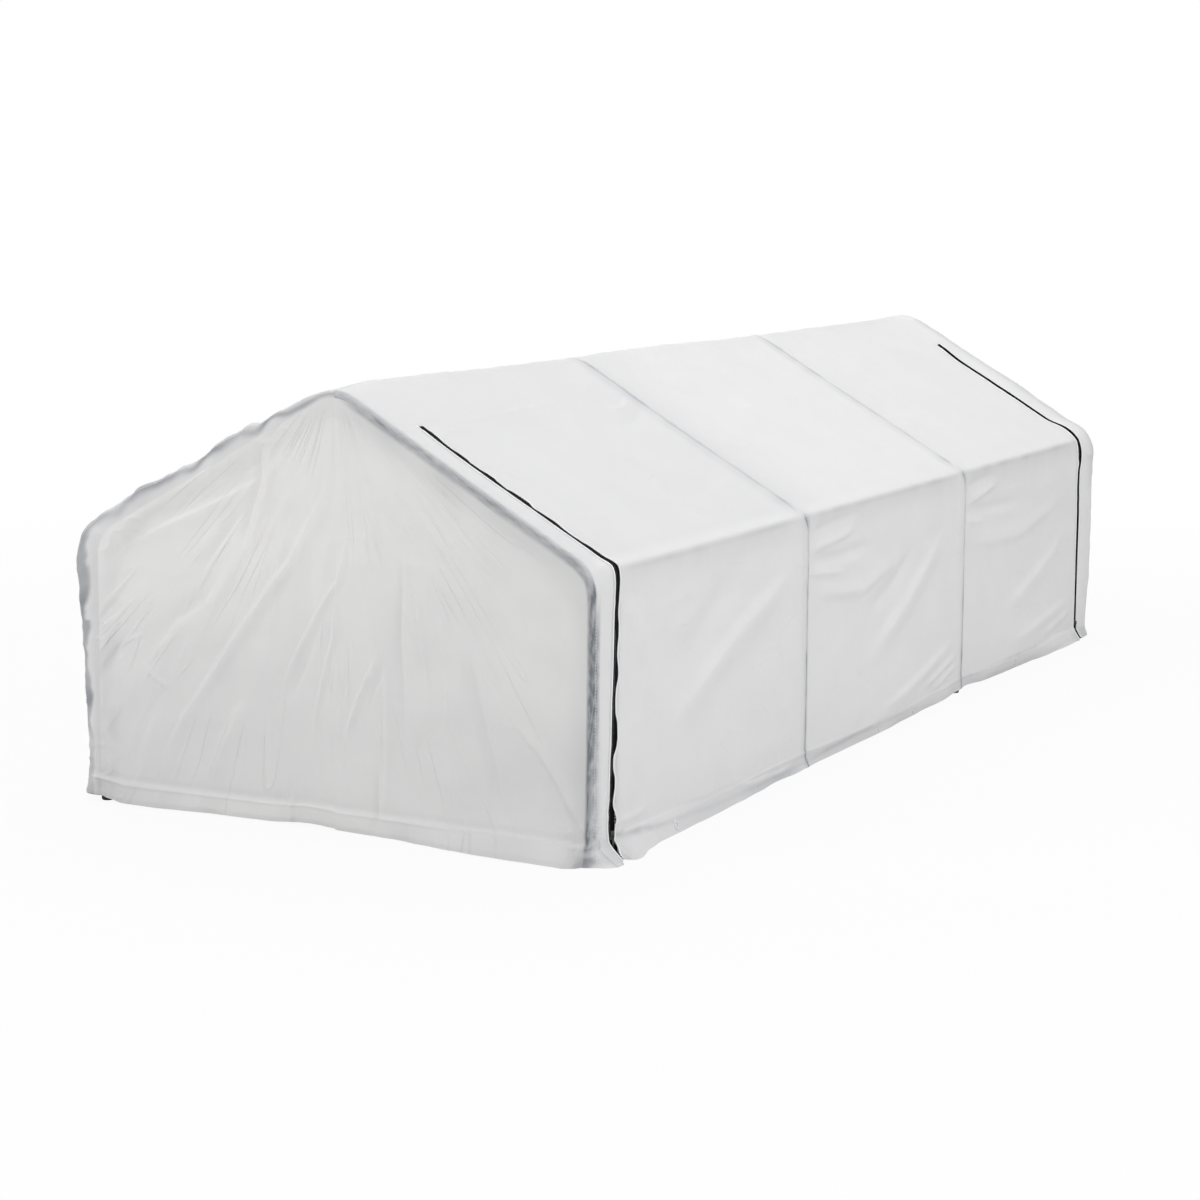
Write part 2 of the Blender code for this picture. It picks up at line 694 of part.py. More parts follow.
clear_scene()
parts = collection("Mini greenhouse")
cutters = collection("Cutters")
eave_line = list(reversed(eave_arc(BEND_RADIUS)))
ridge_line = list(reversed(ridge_arc(BEND_RADIUS)))
flap_line = (APEX - UP_SLOPE * FLAP_TOP_SHARE * RAFTER_RUN, ROOF_NORMAL)
build_frame()
build_cover(eave_line, ridge_line, flap_line)
build_flap(eave_line, flap_line)
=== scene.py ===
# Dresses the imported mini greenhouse: a creased woven cover with its gables, flap,
# hems, seams and zippers, over galvanised tubes that stand in black foot caps.
# Metres, in the part's own frame: +X is the zippered side, -Y the front gable.
# On the cover, s runs from the right hem over the ridge to the left hem, c is along
# the ridge, and far is a place's distance from the ridge along s.
import math
import bmesh
import bpy
import numpy as np
from mathutils import Matrix, Vector


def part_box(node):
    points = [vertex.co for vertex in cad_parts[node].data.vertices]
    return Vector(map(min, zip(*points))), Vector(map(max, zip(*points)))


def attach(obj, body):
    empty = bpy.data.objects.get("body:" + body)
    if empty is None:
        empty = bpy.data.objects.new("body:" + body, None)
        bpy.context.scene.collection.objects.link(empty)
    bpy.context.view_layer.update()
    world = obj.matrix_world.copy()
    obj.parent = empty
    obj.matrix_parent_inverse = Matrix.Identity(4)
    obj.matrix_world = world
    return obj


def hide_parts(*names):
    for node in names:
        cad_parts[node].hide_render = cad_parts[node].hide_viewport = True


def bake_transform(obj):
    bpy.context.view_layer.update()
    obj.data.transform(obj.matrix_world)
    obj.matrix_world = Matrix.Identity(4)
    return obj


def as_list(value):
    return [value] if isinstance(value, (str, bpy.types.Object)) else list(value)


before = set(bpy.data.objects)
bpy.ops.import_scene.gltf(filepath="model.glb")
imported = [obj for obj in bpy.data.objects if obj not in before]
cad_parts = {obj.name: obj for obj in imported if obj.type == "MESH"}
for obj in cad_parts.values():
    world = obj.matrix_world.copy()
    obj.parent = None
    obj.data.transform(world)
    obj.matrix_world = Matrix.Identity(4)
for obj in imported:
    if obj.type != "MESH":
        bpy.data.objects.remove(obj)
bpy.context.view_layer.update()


def curve(*thousandths):
    """Points (place, value) from a run of numbers in millimetres or thousandths."""
    return np.reshape(thousandths, (-1, 2)) / 1000


# Sizes that the part gives
TUBE_R = 0.0095
LEG_X = 0.4475
END_Y = 1.2095
RIB_COUNT = 4
EAVE_HEIGHT = 0.445
RIDGE_HEIGHT = 0.697
BEND_RADIUS = 0.06
CLOTH_R = 0.0098
CLOTH_THICKNESS = 0.0006
HEM_BOTTOM = 0.0135
GABLE_HEM_HEIGHT = 0.03
WALL_HEM_HEIGHT = 0.022
FLAP_TOP_SHARE = 0.27
ZIP_Y = 1.1545
ZIP_OPENING = 0.02

# What follows from them
RIB_PITCH = 2 * END_Y / (RIB_COUNT - 1)
RIB_Y = [-END_Y + RIB_PITCH * i for i in range(RIB_COUNT)]
SLOPE = math.atan2(RIDGE_HEIGHT - EAVE_HEIGHT, LEG_X)
RIDGE_Z = RIDGE_HEIGHT - BEND_RADIUS / math.cos(SLOPE)
ROOF_LENGTH = (LEG_X - BEND_RADIUS) / math.cos(SLOPE)
RIDGE_HALF = BEND_RADIUS * SLOPE
EAVE_FAR = RIDGE_HALF + ROOF_LENGTH
EAVE_TURN = math.pi / 2 - SLOPE
EAVE_ARC = BEND_RADIUS * EAVE_TURN
WALL_FAR = EAVE_FAR + EAVE_ARC
EAVE_Z = RIDGE_Z - ROOF_LENGTH * math.sin(SLOPE)
MIDDLE = WALL_FAR + EAVE_Z - HEM_BOTTOM
GIRTH = 2 * MIDDLE
TOP_FAR = FLAP_TOP_SHARE * LEG_X / math.cos(SLOPE) - BEND_RADIUS * math.tan(SLOPE) + RIDGE_HALF
PURLIN_FAR = EAVE_FAR + EAVE_ARC / 2
TOP_S = MIDDLE - TOP_FAR
ZIP_TOP_S = MIDDLE - (TOP_FAR - 0.012)
FLAP_END = ZIP_Y - ZIP_OPENING / 2
GABLE_HEM_TOP = HEM_BOTTOM + GABLE_HEM_HEIGHT
BASE = CLOTH_R + CLOTH_THICKNESS / 2
WRAP = BASE * math.pi / 2
GABLE_Y = END_Y + BASE

# The cover's shape
FOLD_BEND = 0.012
DROP_WIDTH = 0.012
HEM_LIFT = 0.001
CORNER_OUT = 0.0066
BACK_SAG = 0.0048
SEAM_HALF = 0.011
ZIP_LIFT = 0.001
ZIP_TUCK = 0.0009
FIXED_END = ZIP_Y + 0.009
SHEET_SHADE = 0.075
TEETH_RISE = 0.0007
CREASE_STEP = 0.0008
WEAVE_SCALE = 180.0
PEAK_RISE = 0.03
CLOTH_GLOW = 0.24
# The colour of the cloth's painted shade
SHADE_TINT = (0.205, 0.218, 0.245)

# Along the right wall, y and metres: how far the hem stands out at the ground,
# billows above its fold, and tucks back under it. The left wall is turned half way.
HEM_FLARES = curve(
    -1224.8, 0, -1219.5, 4, -1214.5, 14, -1209.5, 25.5, -1201.8, 34, -1185, 34, -1164, 23.5, -1154.5, 20.5,
    -1147, 37, -1125, 38, -1070, 28, -1020, 23, -950, 24, -880, 22, -790, 21, -700, 18, -620, 14.5, -540, 9,
    -450, 11, -403, 7, -360, 7, -250, 9.5, -140, 9, -30, 8, 90, 4, 210, 0, 403, 0, 570, 0, 680, 3, 800, 7.5,
    920, 16, 1040, 20, 1130, 20, 1160, 16, 1209.5, 6, 1224.8, 0)
HEM_FOLDS = curve(
    -1209.5, 34, -1165, 34, -1150, 34, -1110, 44, -1000, 44, -800, 38, -450, 28, 0, 26, 650, 28, 980, 42, 1130, 36,
    1209.5, 30)
GABLE_FLARES = curve(
    -447.5, 0, -425, 8, -404, 14, -344, 14, -290, 9, -235, 3, -121, 1, -72, -4, -12, -2, 47, 1, 105, 6, 165, 16,
    225, 25, 280, 30, 335, 33, 421, 33, 437, 24, 447.5, 10)
HEM_BILLOWS = curve(-1210, 4, -800, 6, -450, 4, -350, 12, 0, 13, 300, 6, 450, 10, 800, 14, 1210, 10)
HEM_TUCKS = curve(-1210, 2, -1000, 7, -450, 5, -350, 9, 0, 5, 300, 2, 360, 3, 450, 5, 800, 4, 1210, 5)

# Down the loose corner, distance from the ridge and metres out: its slack, then
# the lumps where it is bunched
LOOSE_EDGE = curve(
    0, -1.5, 15, -1, 58, 5, 102, 7, 143, 6.6, 165, 15, 189, 15, 232, 17, 262, 9.5, 290, 9, 319, 14.5, 363, 16.5,
    406, 23.5, 430, 17.5, 460, 17, 493, 20, 523, 35, 549, 40, 603, 34.5, 656, 31, 683, 28.5, 736, 26.5, 816, 23.2,
    869, 19.8, 896, 21.2, 950, 22)
BACK_EDGE = curve(
    0, 2, 50, 8, 120, 9.6, 250, 10.2, 320, 11, 380, 8, 455, 6, 507, 11, 530, 12.5, 560, 11, 600, 10.8, 700, 12.2,
    800, 11, 950, 6)
RIDGE_RISE = curve(
    -1209.5, 3, -1120, 8.5, -930, 8, -800, 5.5, -600, 4, -400, 3.5, -280, 6, -50, 6, 100, 4, 250, 1, 1000, 1,
    1209.5, 4)

# Up the zipped corner, height and metres: how far it stands out of the wall's line
ZIP_BOW = curve(
    0, 1, 20, 0.2, 30, -1.2, 38.5, -3.3, 47.5, -4.8, 56, -4.9, 66, -4.5, 74, -5, 95, -3, 150, -2.2, 184, -0.5,
    246, 0, 270, 1, 300, 1.6, 345, 2.2, 385, 2.4, 410, 5.6)
BACK_BOW = curve(0, 0, 50, 0, 110, -0.6, 200, -1, 275, -1, 310, -2, 345, -3.2, 375, -3.2, 400, 0, 410, 0)

# Along the front zipper, metres that the flap's edge covers of it: up the wall by
# height, then up the roof by distance from the ridge
WALL_CREEP = curve(
    2, 11.8, 14.2, 11.8, 22.5, 8.4, 30, 3, 40, -2.2, 47, -4, 56, -7.1, 89, 2.4, 110, -1, 121, -1, 143, 5.6,
    153, 5.6, 175, -2.8, 186, -4.7, 207, -3.6, 229, 4.2, 245, 5.2, 261, 4.8, 283, -2.5, 294, -0.6, 315, 4.2,
    326, 4.2, 347, 0.5, 358, 0.5, 380, 3.9, 391, 3.9, 412, -0.8, 440, -1.2)
ROOF_CREEP = curve(
    140, -1.4, 150, -1.4, 169, 2.6, 188, 2.6, 206, -2, 214, -1.4, 225, 2.8, 244, 2, 258, -5.6, 268, -6.4, 281, 2,
    299, 3.6, 314, -5, 326, -7.4, 338, -6.6, 352, 3.8, 374, 1.6, 392, -3, 411, 3, 429, 4, 448, 2.8, 464, -3.4,
    485, -4.2, 507, -3.2)

# Painted shade: how dark the loose left leg is by height, after how far round it the dark goes,
# then how dark the right leg's tube is painted where it shows through: towards the gable round the
# tube (turned by up to 1.57, counted below 0), and towards the wall (10 per metre)
LOOSE_BAND = curve(
    13, 1000, 34, 950, 67, 900, 101, 950, 135, 700, 150, 860, 169, 1000, 190, 920, 202, 880, 225, 740, 253, 680,
    268, 840, 300, 960, 306, 660, 317, 720, 337, 880, 371, 1040, 405, 940, 430, 780, 445, 600)
LOOSE_DARK = curve(
    13, 420, 34, 340, 67, 440, 101, 300, 135, 620, 169, 780, 202, 620, 253, 620, 303, 760, 337, 900, 371, 680,
    405, 660, 430, 700, 445, 600)
LEG_BAND = curve(
    -1570, 640, -1450, 940, -1200, 1080, -950, 1000, -600, 1100, -300, 920, 0, 740, 30, 660, 60, 280, 90, 0)
FOOT_BAND = curve(
    -1570, 1000, -1420, 1160, -1200, 820, -800, 600, -500, 660, -200, 540, 0, 420, 35, 320, 70, 180, 120, 100,
    200, 0)
RAFTER_BAND = curve(-1570, 500, -1300, 640, -1000, 540, -700, 340, -400, 140, -150, 30, 0, 0)

# Shade of the wall's hem, along y: how dark it is, up to what height, and the
# height and darkness of the crease above it
HEM_DARK = curve(
    -1200, 50, -1130, 50, -1010, 60, -820, 140, -720, 130, -615, 250, -510, 330, -410, 160, -280, 140, -155, 80,
    -30, 0, 120, 0, 270, 0, 410, 120, 550, 20, 690, 20, 970, 40, 1080, 60, 1150, 280, 1200, 280)
HEM_DARK_TOP = curve(-1200, 40, -920, 40, -720, 36, -615, 25, -510, 23, -410, 31, -280, 30, 410, 34, 1200, 30)
HEM_LINE = curve(
    -1147, 40, -1130, 37.5, -1080, 35, -1010, 31, -920, 29, -800, 25, -600, 22, -500, 20, -400, 21, -280, 25,
    -155, 30, -30, 34, 410, 32, 690, 36, 1200, 34)
HEM_LINE_DARK = curve(
    -1160, 0, -1150, 200, -1130, 320, -1080, 340, -1010, 260, -920, 140, -800, 100, -500, 120, -400, 100, -280, 240,
    -155, 240, -30, 160, 120, 0, 350, 20, 550, 100, 690, 260, 820, 140, 1000, 40, 1200, 40)

# Painted shade of a gable along x, seen from its own front: low on the sheet, and on its hem, where below 0 is painted
# lighter
GABLE_LOW = curve(
    -447.5, 100, -335, 90, -255, 70, -175, 50, -90, 40, 0, 0, 75, 0, 155, 30, 240, 60, 447.5, 60)
GABLE_HEM = curve(
    -447.5, 180, -335, 110, -255, -30, -175, -70, -90, -90, 0, -30, 75, 0, 155, 90, 240, 60, 325, 80, 405, 20,
    447.5, 60)

# Stitches, teeth and the zippers' rolled edges
STITCH_PITCH = 0.0052
TOOTH_PITCH = 0.0026
PIPING_R = 0.0014
PIPING_FOOT = 0.0006
SEAM_MARGIN = 0.002


def ease(part):
    return part * part * (3 - 2 * part)


def smooth(value, low, high):
    """0 below low, 1 above high, and a soft step between."""
    return ease(np.clip((value - low) / (high - low), 0, 1))


def fade(value, low, high):
    """1 below low, 0 above high."""
    return 1 - smooth(value, low, high)


def near(value, width):
    """1 where value is 0, falling to 0 over about width."""
    return np.exp(-(value / width) ** 2)


def plateau(value, free, width):
    """1 up to free, falling to 0 over about width beyond it."""
    return near(np.maximum(value - free, 0), width)


def through(value, points):
    """Eased steps through points (value, result)."""
    marks, results = np.transpose(points)
    value = np.clip(value, marks[0], marks[-1])
    i = np.clip(np.searchsorted(marks, value, side="right") - 1, 0, len(marks) - 2)
    part = (value - marks[i]) / (marks[i + 1] - marks[i])
    return results[i] + (results[i + 1] - results[i]) * ease(part)


def noise(u, v, size, seed):
    """Smooth values from -1 to 1 that change over about size metres."""
    count = 128
    table = np.random.default_rng(seed).uniform(-1, 1, (count, count))
    i, j = (np.floor(value / size).astype(int) for value in (u, v))
    a, b = ease(u / size - i), ease(v / size - j)
    low, high = (table[i % count, k % count] * (1 - a) + table[(i + 1) % count, k % count] * a for k in (j, j + 1))
    return low * (1 - b) + high * b


def crinkle(u, v, size, seed):
    """Thin irregular ridges from 0 to 1, as in stiff sheeting."""
    bend = size * 0.6
    u = u + bend * noise(u, v, size * 2, seed + 1)
    v = v + bend * noise(u, v, size * 2, seed + 2)
    return (1 - np.abs(noise(u, v, size, seed))) ** 3


def fold(u, v, points, width, height, lean=0.0):
    """A ridge, or a valley where height is below 0, along a line of points. It
    tapers to both ends, and lean from -1 to 1 makes one flank steeper."""
    points = np.array(points, float)
    reach = 3 * width * (1 + abs(lean))
    low = points.min(axis=0) - reach
    high = points.max(axis=0) + reach
    close = (u > low[0]) & (u < high[0]) & (v > low[1]) & (v < high[1])
    found = np.zeros(np.shape(u))
    if not close.any():
        return found
    u = u[close]
    v = v[close]
    steps = np.hypot(*np.diff(points, axis=0).T)
    total = steps.sum()
    best = np.full(np.shape(u), 1e9)
    side = np.zeros(np.shape(u))
    along = np.zeros(np.shape(u))
    done = 0.0
    for start, end, step in zip(points, points[1:], steps):
        du, dv = (end - start) / step
        t = np.clip((u - start[0]) * du + (v - start[1]) * dv, 0, step)
        pu = u - start[0] - t * du
        pv = v - start[1] - t * dv
        far = np.hypot(pu, pv)
        closer = far < best
        best = np.where(closer, far, best)
        side = np.where(closer, np.sign(pu * dv - pv * du), side)
        along = np.where(closer, (done + t) / total, along)
        done += step
    spread = width * (1 + lean * side)
    taper = 0.12 + 0.88 * ease(np.clip(np.minimum(along, 1 - along) * 3.2, 0, 1))
    found[close] = height * near(best, spread) * np.where((along > 0) & (along < 1), taper, 0.12)
    return found


def folded(u, v, folds):
    """The sum of a table's folds."""
    total = 0.0
    for width, height, lean, *points in folds:
        total += fold(u, v, np.reshape(points, (-1, 2)) / 1000, width / 1000, height / 1000, lean)
    return total


def outline(s):
    """A rib's centre line at s from the right hem: x, z and the outward normal."""
    far = np.abs(s - MIDDLE)
    side = np.where(s < MIDDLE, 1.0, -1.0)
    ridge = np.clip(far / BEND_RADIUS, 0, SLOPE)
    eave = np.clip((far - EAVE_FAR) / BEND_RADIUS, 0, EAVE_TURN)
    roof = np.clip(far - RIDGE_HALF, 0, ROOF_LENGTH)
    wall = np.maximum(far - WALL_FAR, 0)
    turn = ridge + eave
    x = BEND_RADIUS * np.sin(ridge) + roof * math.cos(SLOPE)
    x = x + BEND_RADIUS * (np.sin(SLOPE + eave) - math.sin(SLOPE))
    z = RIDGE_Z + BEND_RADIUS * np.cos(ridge) - roof * math.sin(SLOPE)
    z = z + BEND_RADIUS * (np.cos(SLOPE + eave) - math.cos(SLOPE)) - wall
    return side * x, z, side * np.sin(turn), np.cos(turn)


def rib_distance(c):
    """How far c is from the nearest rib."""
    return np.min([np.abs(c - y) for y in RIB_Y], axis=0)


def round_corner(turn, half):
    """How far a sheet drawn over a purlin lies inside the ribs' own bend, at turn
    from the middle of that bend. Half is half the bend's angle."""
    flat = (BEND_RADIUS * math.cos(half) + BASE) / np.cos(np.clip(half - turn, 0, half))
    touch = math.atan2(BASE * math.sin(half), BEND_RADIUS + BASE * math.cos(half))
    off = np.minimum(turn, touch)
    bent = BEND_RADIUS * np.cos(off) + np.sqrt(BASE ** 2 - (BEND_RADIUS * np.sin(off)) ** 2)
    return np.where(turn < touch, bent, flat) - BEND_RADIUS - BASE


def bay_plane(far):
    """The same at far from the ridge: flat planes between the ridge, the eave
    purlin and the ground."""
    half = EAVE_TURN / 2
    at_ridge = round_corner(np.clip(far / BEND_RADIUS, 0, SLOPE), SLOPE)
    at_eave = round_corner(np.clip(np.abs(far - PURLIN_FAR) / BEND_RADIUS, 0, half), half)
    share = np.clip((far - RIDGE_HALF) / ROOF_LENGTH, 0, 1)
    roof = np.where(far > EAVE_FAR, at_eave, at_ridge * (1 - share) + at_eave * share)
    return np.where(far < RIDGE_HALF, at_ridge, roof)


# Folds of the walls: width, height, lean and points (y, z), in millimetres
WALL_FOLDS = [
    (24, 4.2, -0.3, -440, 362, -522, 334, -667, 290, -797, 240, -971, 160),
    (30, -2.8, 0, -640, 400, -800, 319, -900, 262),
    (18, 1.4, 0, -1120, 400, -1050, 330, -1010, 240),
    (10, -2.2, 0, -385, 412, -260, 424, -130, 430),
    (9, 2.2, -0.2, -385, 379, -240, 389, -150, 402),
    (11, -2.4, 0, -392, 363, -230, 354, -70, 360),
    (8, 1.8, 0, -388, 343, -300, 334, -215, 326),
    (14, 2.4, -0.2, -388, 305, -240, 290, -126, 279, -52, 298, 76, 312),
    (21, 3.6, -0.35, 320, 345, 186, 277, 83, 223, -43, 174, -130, 140),
    (16, -2.6, 0, 150, 330, 30, 268, -110, 232),
    (13, 2.4, -0.3, 385, 120, 200, 82, 17, 52, -84, 40),
    (8, 1.8, 0, 385, 86, 280, 64, 160, 46),
    (6, 1.4, 0, 385, 62, 300, 48, 220, 38),
    (10, -2, 0, 418, 412, 500, 422, 625, 432),
    (9, 2.2, -0.2, 418, 377, 500, 388, 630, 405),
    (11, -2.2, 0, 418, 364, 560, 358, 760, 354),
    (8, 1.6, 0, 418, 346, 470, 340, 540, 333),
    (16, 2.2, -0.2, 420, 303, 600, 288, 754, 282, 952, 312, 1090, 345),
    (20, 2.8, -0.35, 1080, 250, 900, 192, 767, 158, 660, 128),
    (13, 2.2, -0.3, 1110, 100, 876, 80, 700, 60),
    (8, 1.6, 0, 1110, 74, 1000, 60, 880, 46),
    (3.2, -1.3, 0, -1150, 41, -1120, 37.5, -1060, 34, -1000, 31),
    (6, 1, 0, -1150, 55, -1110, 53, -1040, 56),
]

# Folds of the roof: the same, with points (y, distance from the ridge)
ROOF_FOLDS = [
    (10, 1.8, 0.3, -430, 130, -480, 150, -540, 150),
    (14, -1.8, 0, -430, 160, -500, 190, -590, 200),
    (26, 1.6, 0.2, -385, 300, -200, 270, -20, 200, 120, 150),
    (16, 1.4, 0, -300, 30, -250, 90, -160, 150),
    (14, 1.4, 0, -50, 20, -20, 80, 60, 130),
    (14, -1.2, 0, 120, 20, 160, 90, 240, 160),
    (24, 1.4, 0, 430, 180, 600, 150, 780, 100),
    (16, 1.4, 0.2, 860, 40, 930, 110, 1040, 190),
    (6, 0.6, 0, -1060, 120, -900, 118, -720, 112, -600, 100),
    (18, 1.4, 0, 430, 360, 520, 330, 640, 330),
    (18, -1.4, 0, -440, 330, -520, 370, -640, 400),
]

# Folds of a gable: width, height and points (x, z)
GABLE_FOLDS = [
    (24, -3, -190, 600, -234, 576, -285, 531, -368, 471, -400, 430),
    (10, 1.8, -110, 570, -146, 547, -230, 505, -315, 468, -390, 430),
    (6, -2, -120, 640, -134, 590, -138, 547, -157, 496, -178, 430),
    (7, 1.8, -106, 640, -120, 590, -126, 540, -145, 490, -162, 430),
    (9, -2.6, -165, 510, -190, 477, -227, 431, -262, 385),
    (11, -2.6, -205, 410, -251, 348, -302, 314, -355, 250),
    (10, 4.2, -18, 540, -57, 473, -85, 422, -119, 383, -163, 326, -192, 288, -244, 215, -286, 160, -325, 90),
    (6, 2.4, 26, 480, 4, 400, -22, 365, -46, 325, -73, 278, -95, 230),
    (5, 2.2, 4, 390, -4, 311, -15, 270, -34, 198, -44, 140),
    (6, -1, -20, 340, -50, 270, -85, 200),
    (6, 2.8, 80, 290, 58, 250, 42, 217, 16, 150),
    (5, -0.9, 98, 290, 78, 240, 62, 200),
    (5, 1.2, -364, 232, -340, 212, -311, 195),
    (9, -2.6, -470, 176, -435, 230, -398, 280),
    (9, 2, -470, 212, -440, 260, -405, 315),
    (9, -2, -470, 262, -445, 305, -415, 345),
    (10, 1.8, -470, 95, -440, 120, -410, 160),
    (6, -2.2, 120, 470, 122, 394, 118, 319, 124, 241, 130, 140),
    (5, 2, 138, 440, 150, 365, 158, 310, 163, 276, 168, 210),
    (6, 1.4, 188, 400, 193, 310, 200, 248, 205, 180),
    (10, -2.8, 228, 345, 251, 268, 268, 205, 289, 132, 314, 40),
    (13, 2.2, 246, 345, 268, 268, 286, 205, 306, 132, 330, 50),
    (8, 2.6, 318, 210, 367, 164, 402, 118, 452, 50),
    (7, 1.8, 87, 330, 95, 222, 93, 126, 89, 20),
    (5, -2.2, 78, 120, 80, 70, 78, 15),
    (5, 2.4, -82, 60, -86, 35, -84, 10),
    (16, 2, -160, 210, -215, 120, -245, 50),
    (20, 1.6, -330, 180, -355, 110, -370, 50),
    (22, -1.6, 385, 420, 400, 330, 405, 240),
    (22, 1.8, 60, 600, 90, 540, 150, 470),
]
GABLE_FOLDS = [(width, height, -math.copysign(0.5, height), *points) for width, height, *points in GABLE_FOLDS]


def gable_inside(x, z, rounding):
    """How far a point of a gable is from its edge, rounded off at the corners."""
    over_wall = LEG_X - np.abs(x)
    over_roof = (RIDGE_HEIGHT - z) * math.cos(SLOPE) - np.abs(x) * math.sin(SLOPE)
    return -rounding * np.log(np.exp(-over_wall / rounding) + np.exp(-over_roof / rounding))


def gable_lift(x, z):
    """How far a gable stands out, seen from its own front with x to the right."""
    inside = gable_inside(x, z, 0.02) + 0.002
    free = smooth(inside, 0.007, 0.04)
    lift = -0.003 * free + 0.0058 * near(inside, 0.042) * smooth(-x, 0.04, 0.22)
    down = RIDGE_HEIGHT + PEAK_RISE - z
    angle = np.arctan2(x, down)
    reach = np.hypot(x, down)
    fan = noise(angle * 0.35, reach * 0.25, 0.055, 11) + 0.5 * noise(angle * 0.35, reach * 0.4, 0.024, 12)
    lift += 0.0034 * fan * free * smooth(reach, 0.05, 0.35) * (0.4 + 0.6 * smooth(z, 0.03, 0.16))
    lift += 1.35 * folded(x, z, GABLE_FOLDS) * (0.25 + 0.75 * free)
    creases = 0.0
    for size, stretch, share, seed in ((0.03, 0.22, 0.0008, 61), (0.018, 0.3, 0.0004, 62)):
        ridge = (1 - np.abs(noise(angle * 0.5, reach * stretch, size, seed))) ** 5
        creases += share * ridge * smooth(noise(x, z * 0.6, 0.11, seed + 4), -0.35, 0.45)
    lift += creases * free * smooth(reach, 0.1, 0.3)
    pucker = crinkle(x, z, 0.03, 21) * near(inside - 0.012, 0.016)
    lift += 0.0014 * pucker * smooth(-x, -0.2, 0.3)
    lift += 0.0005 * crinkle(x, z, 0.045, 22) * free
    low = np.clip(1 - (z - HEM_BOTTOM) / 0.15, 0, 1)
    hem = np.clip(1 - (z - HEM_BOTTOM) / GABLE_HEM_HEIGHT, 0, 1)
    lift += through(x, GABLE_FLARES) * (0.62 * low ** 2.5 + 0.38 * hem)
    over_hem = z - GABLE_HEM_TOP
    lift += 1.7 * HEM_LIFT * fade(over_hem, -0.0012, 0.0012)
    lift += 0.001 * near(over_hem + 0.0015, 0.0028) - 0.001 * near(over_hem - 0.006, 0.006)
    knot = near(LEG_X - x, 0.03) * (x > 0) * fade(z, 0.07, 0.095)
    lift += 0.0016 * (crinkle(x * 1.5, z, 0.012, 73) - 0.35) * knot
    clear = -0.0002 - 0.03 * smooth(inside, 0.01, 0.03)
    lift = np.maximum(lift, clear)
    hem_ripple = noise(x, 0, 0.045, 23) * fade(z, 0.01, 0.05) * smooth(LEG_X - np.abs(x), 0.01, 0.08)
    lift += 0.0016 * near(LEG_X - np.abs(x), 0.024) * fade(z, 0.014, 0.03)
    return lift + 0.0016 * hem_ripple


def gable_drop(x, z):
    """How far a gable's lower edge hangs below the part's plain hem."""
    band = fade(z, HEM_BOTTOM + 0.012, 0.15)
    inner = smooth(LEG_X - np.abs(x), 0.0, 0.055)
    low = np.where(x < 0, 0.0105 - 0.0035 * near(x + 0.05, 0.05), 0.0112 + 0.0016 * smooth(x, 0.3, 0.44))
    corner = np.where(x < 0, 0.003, low)
    return (corner + (low - corner) * inner) * band


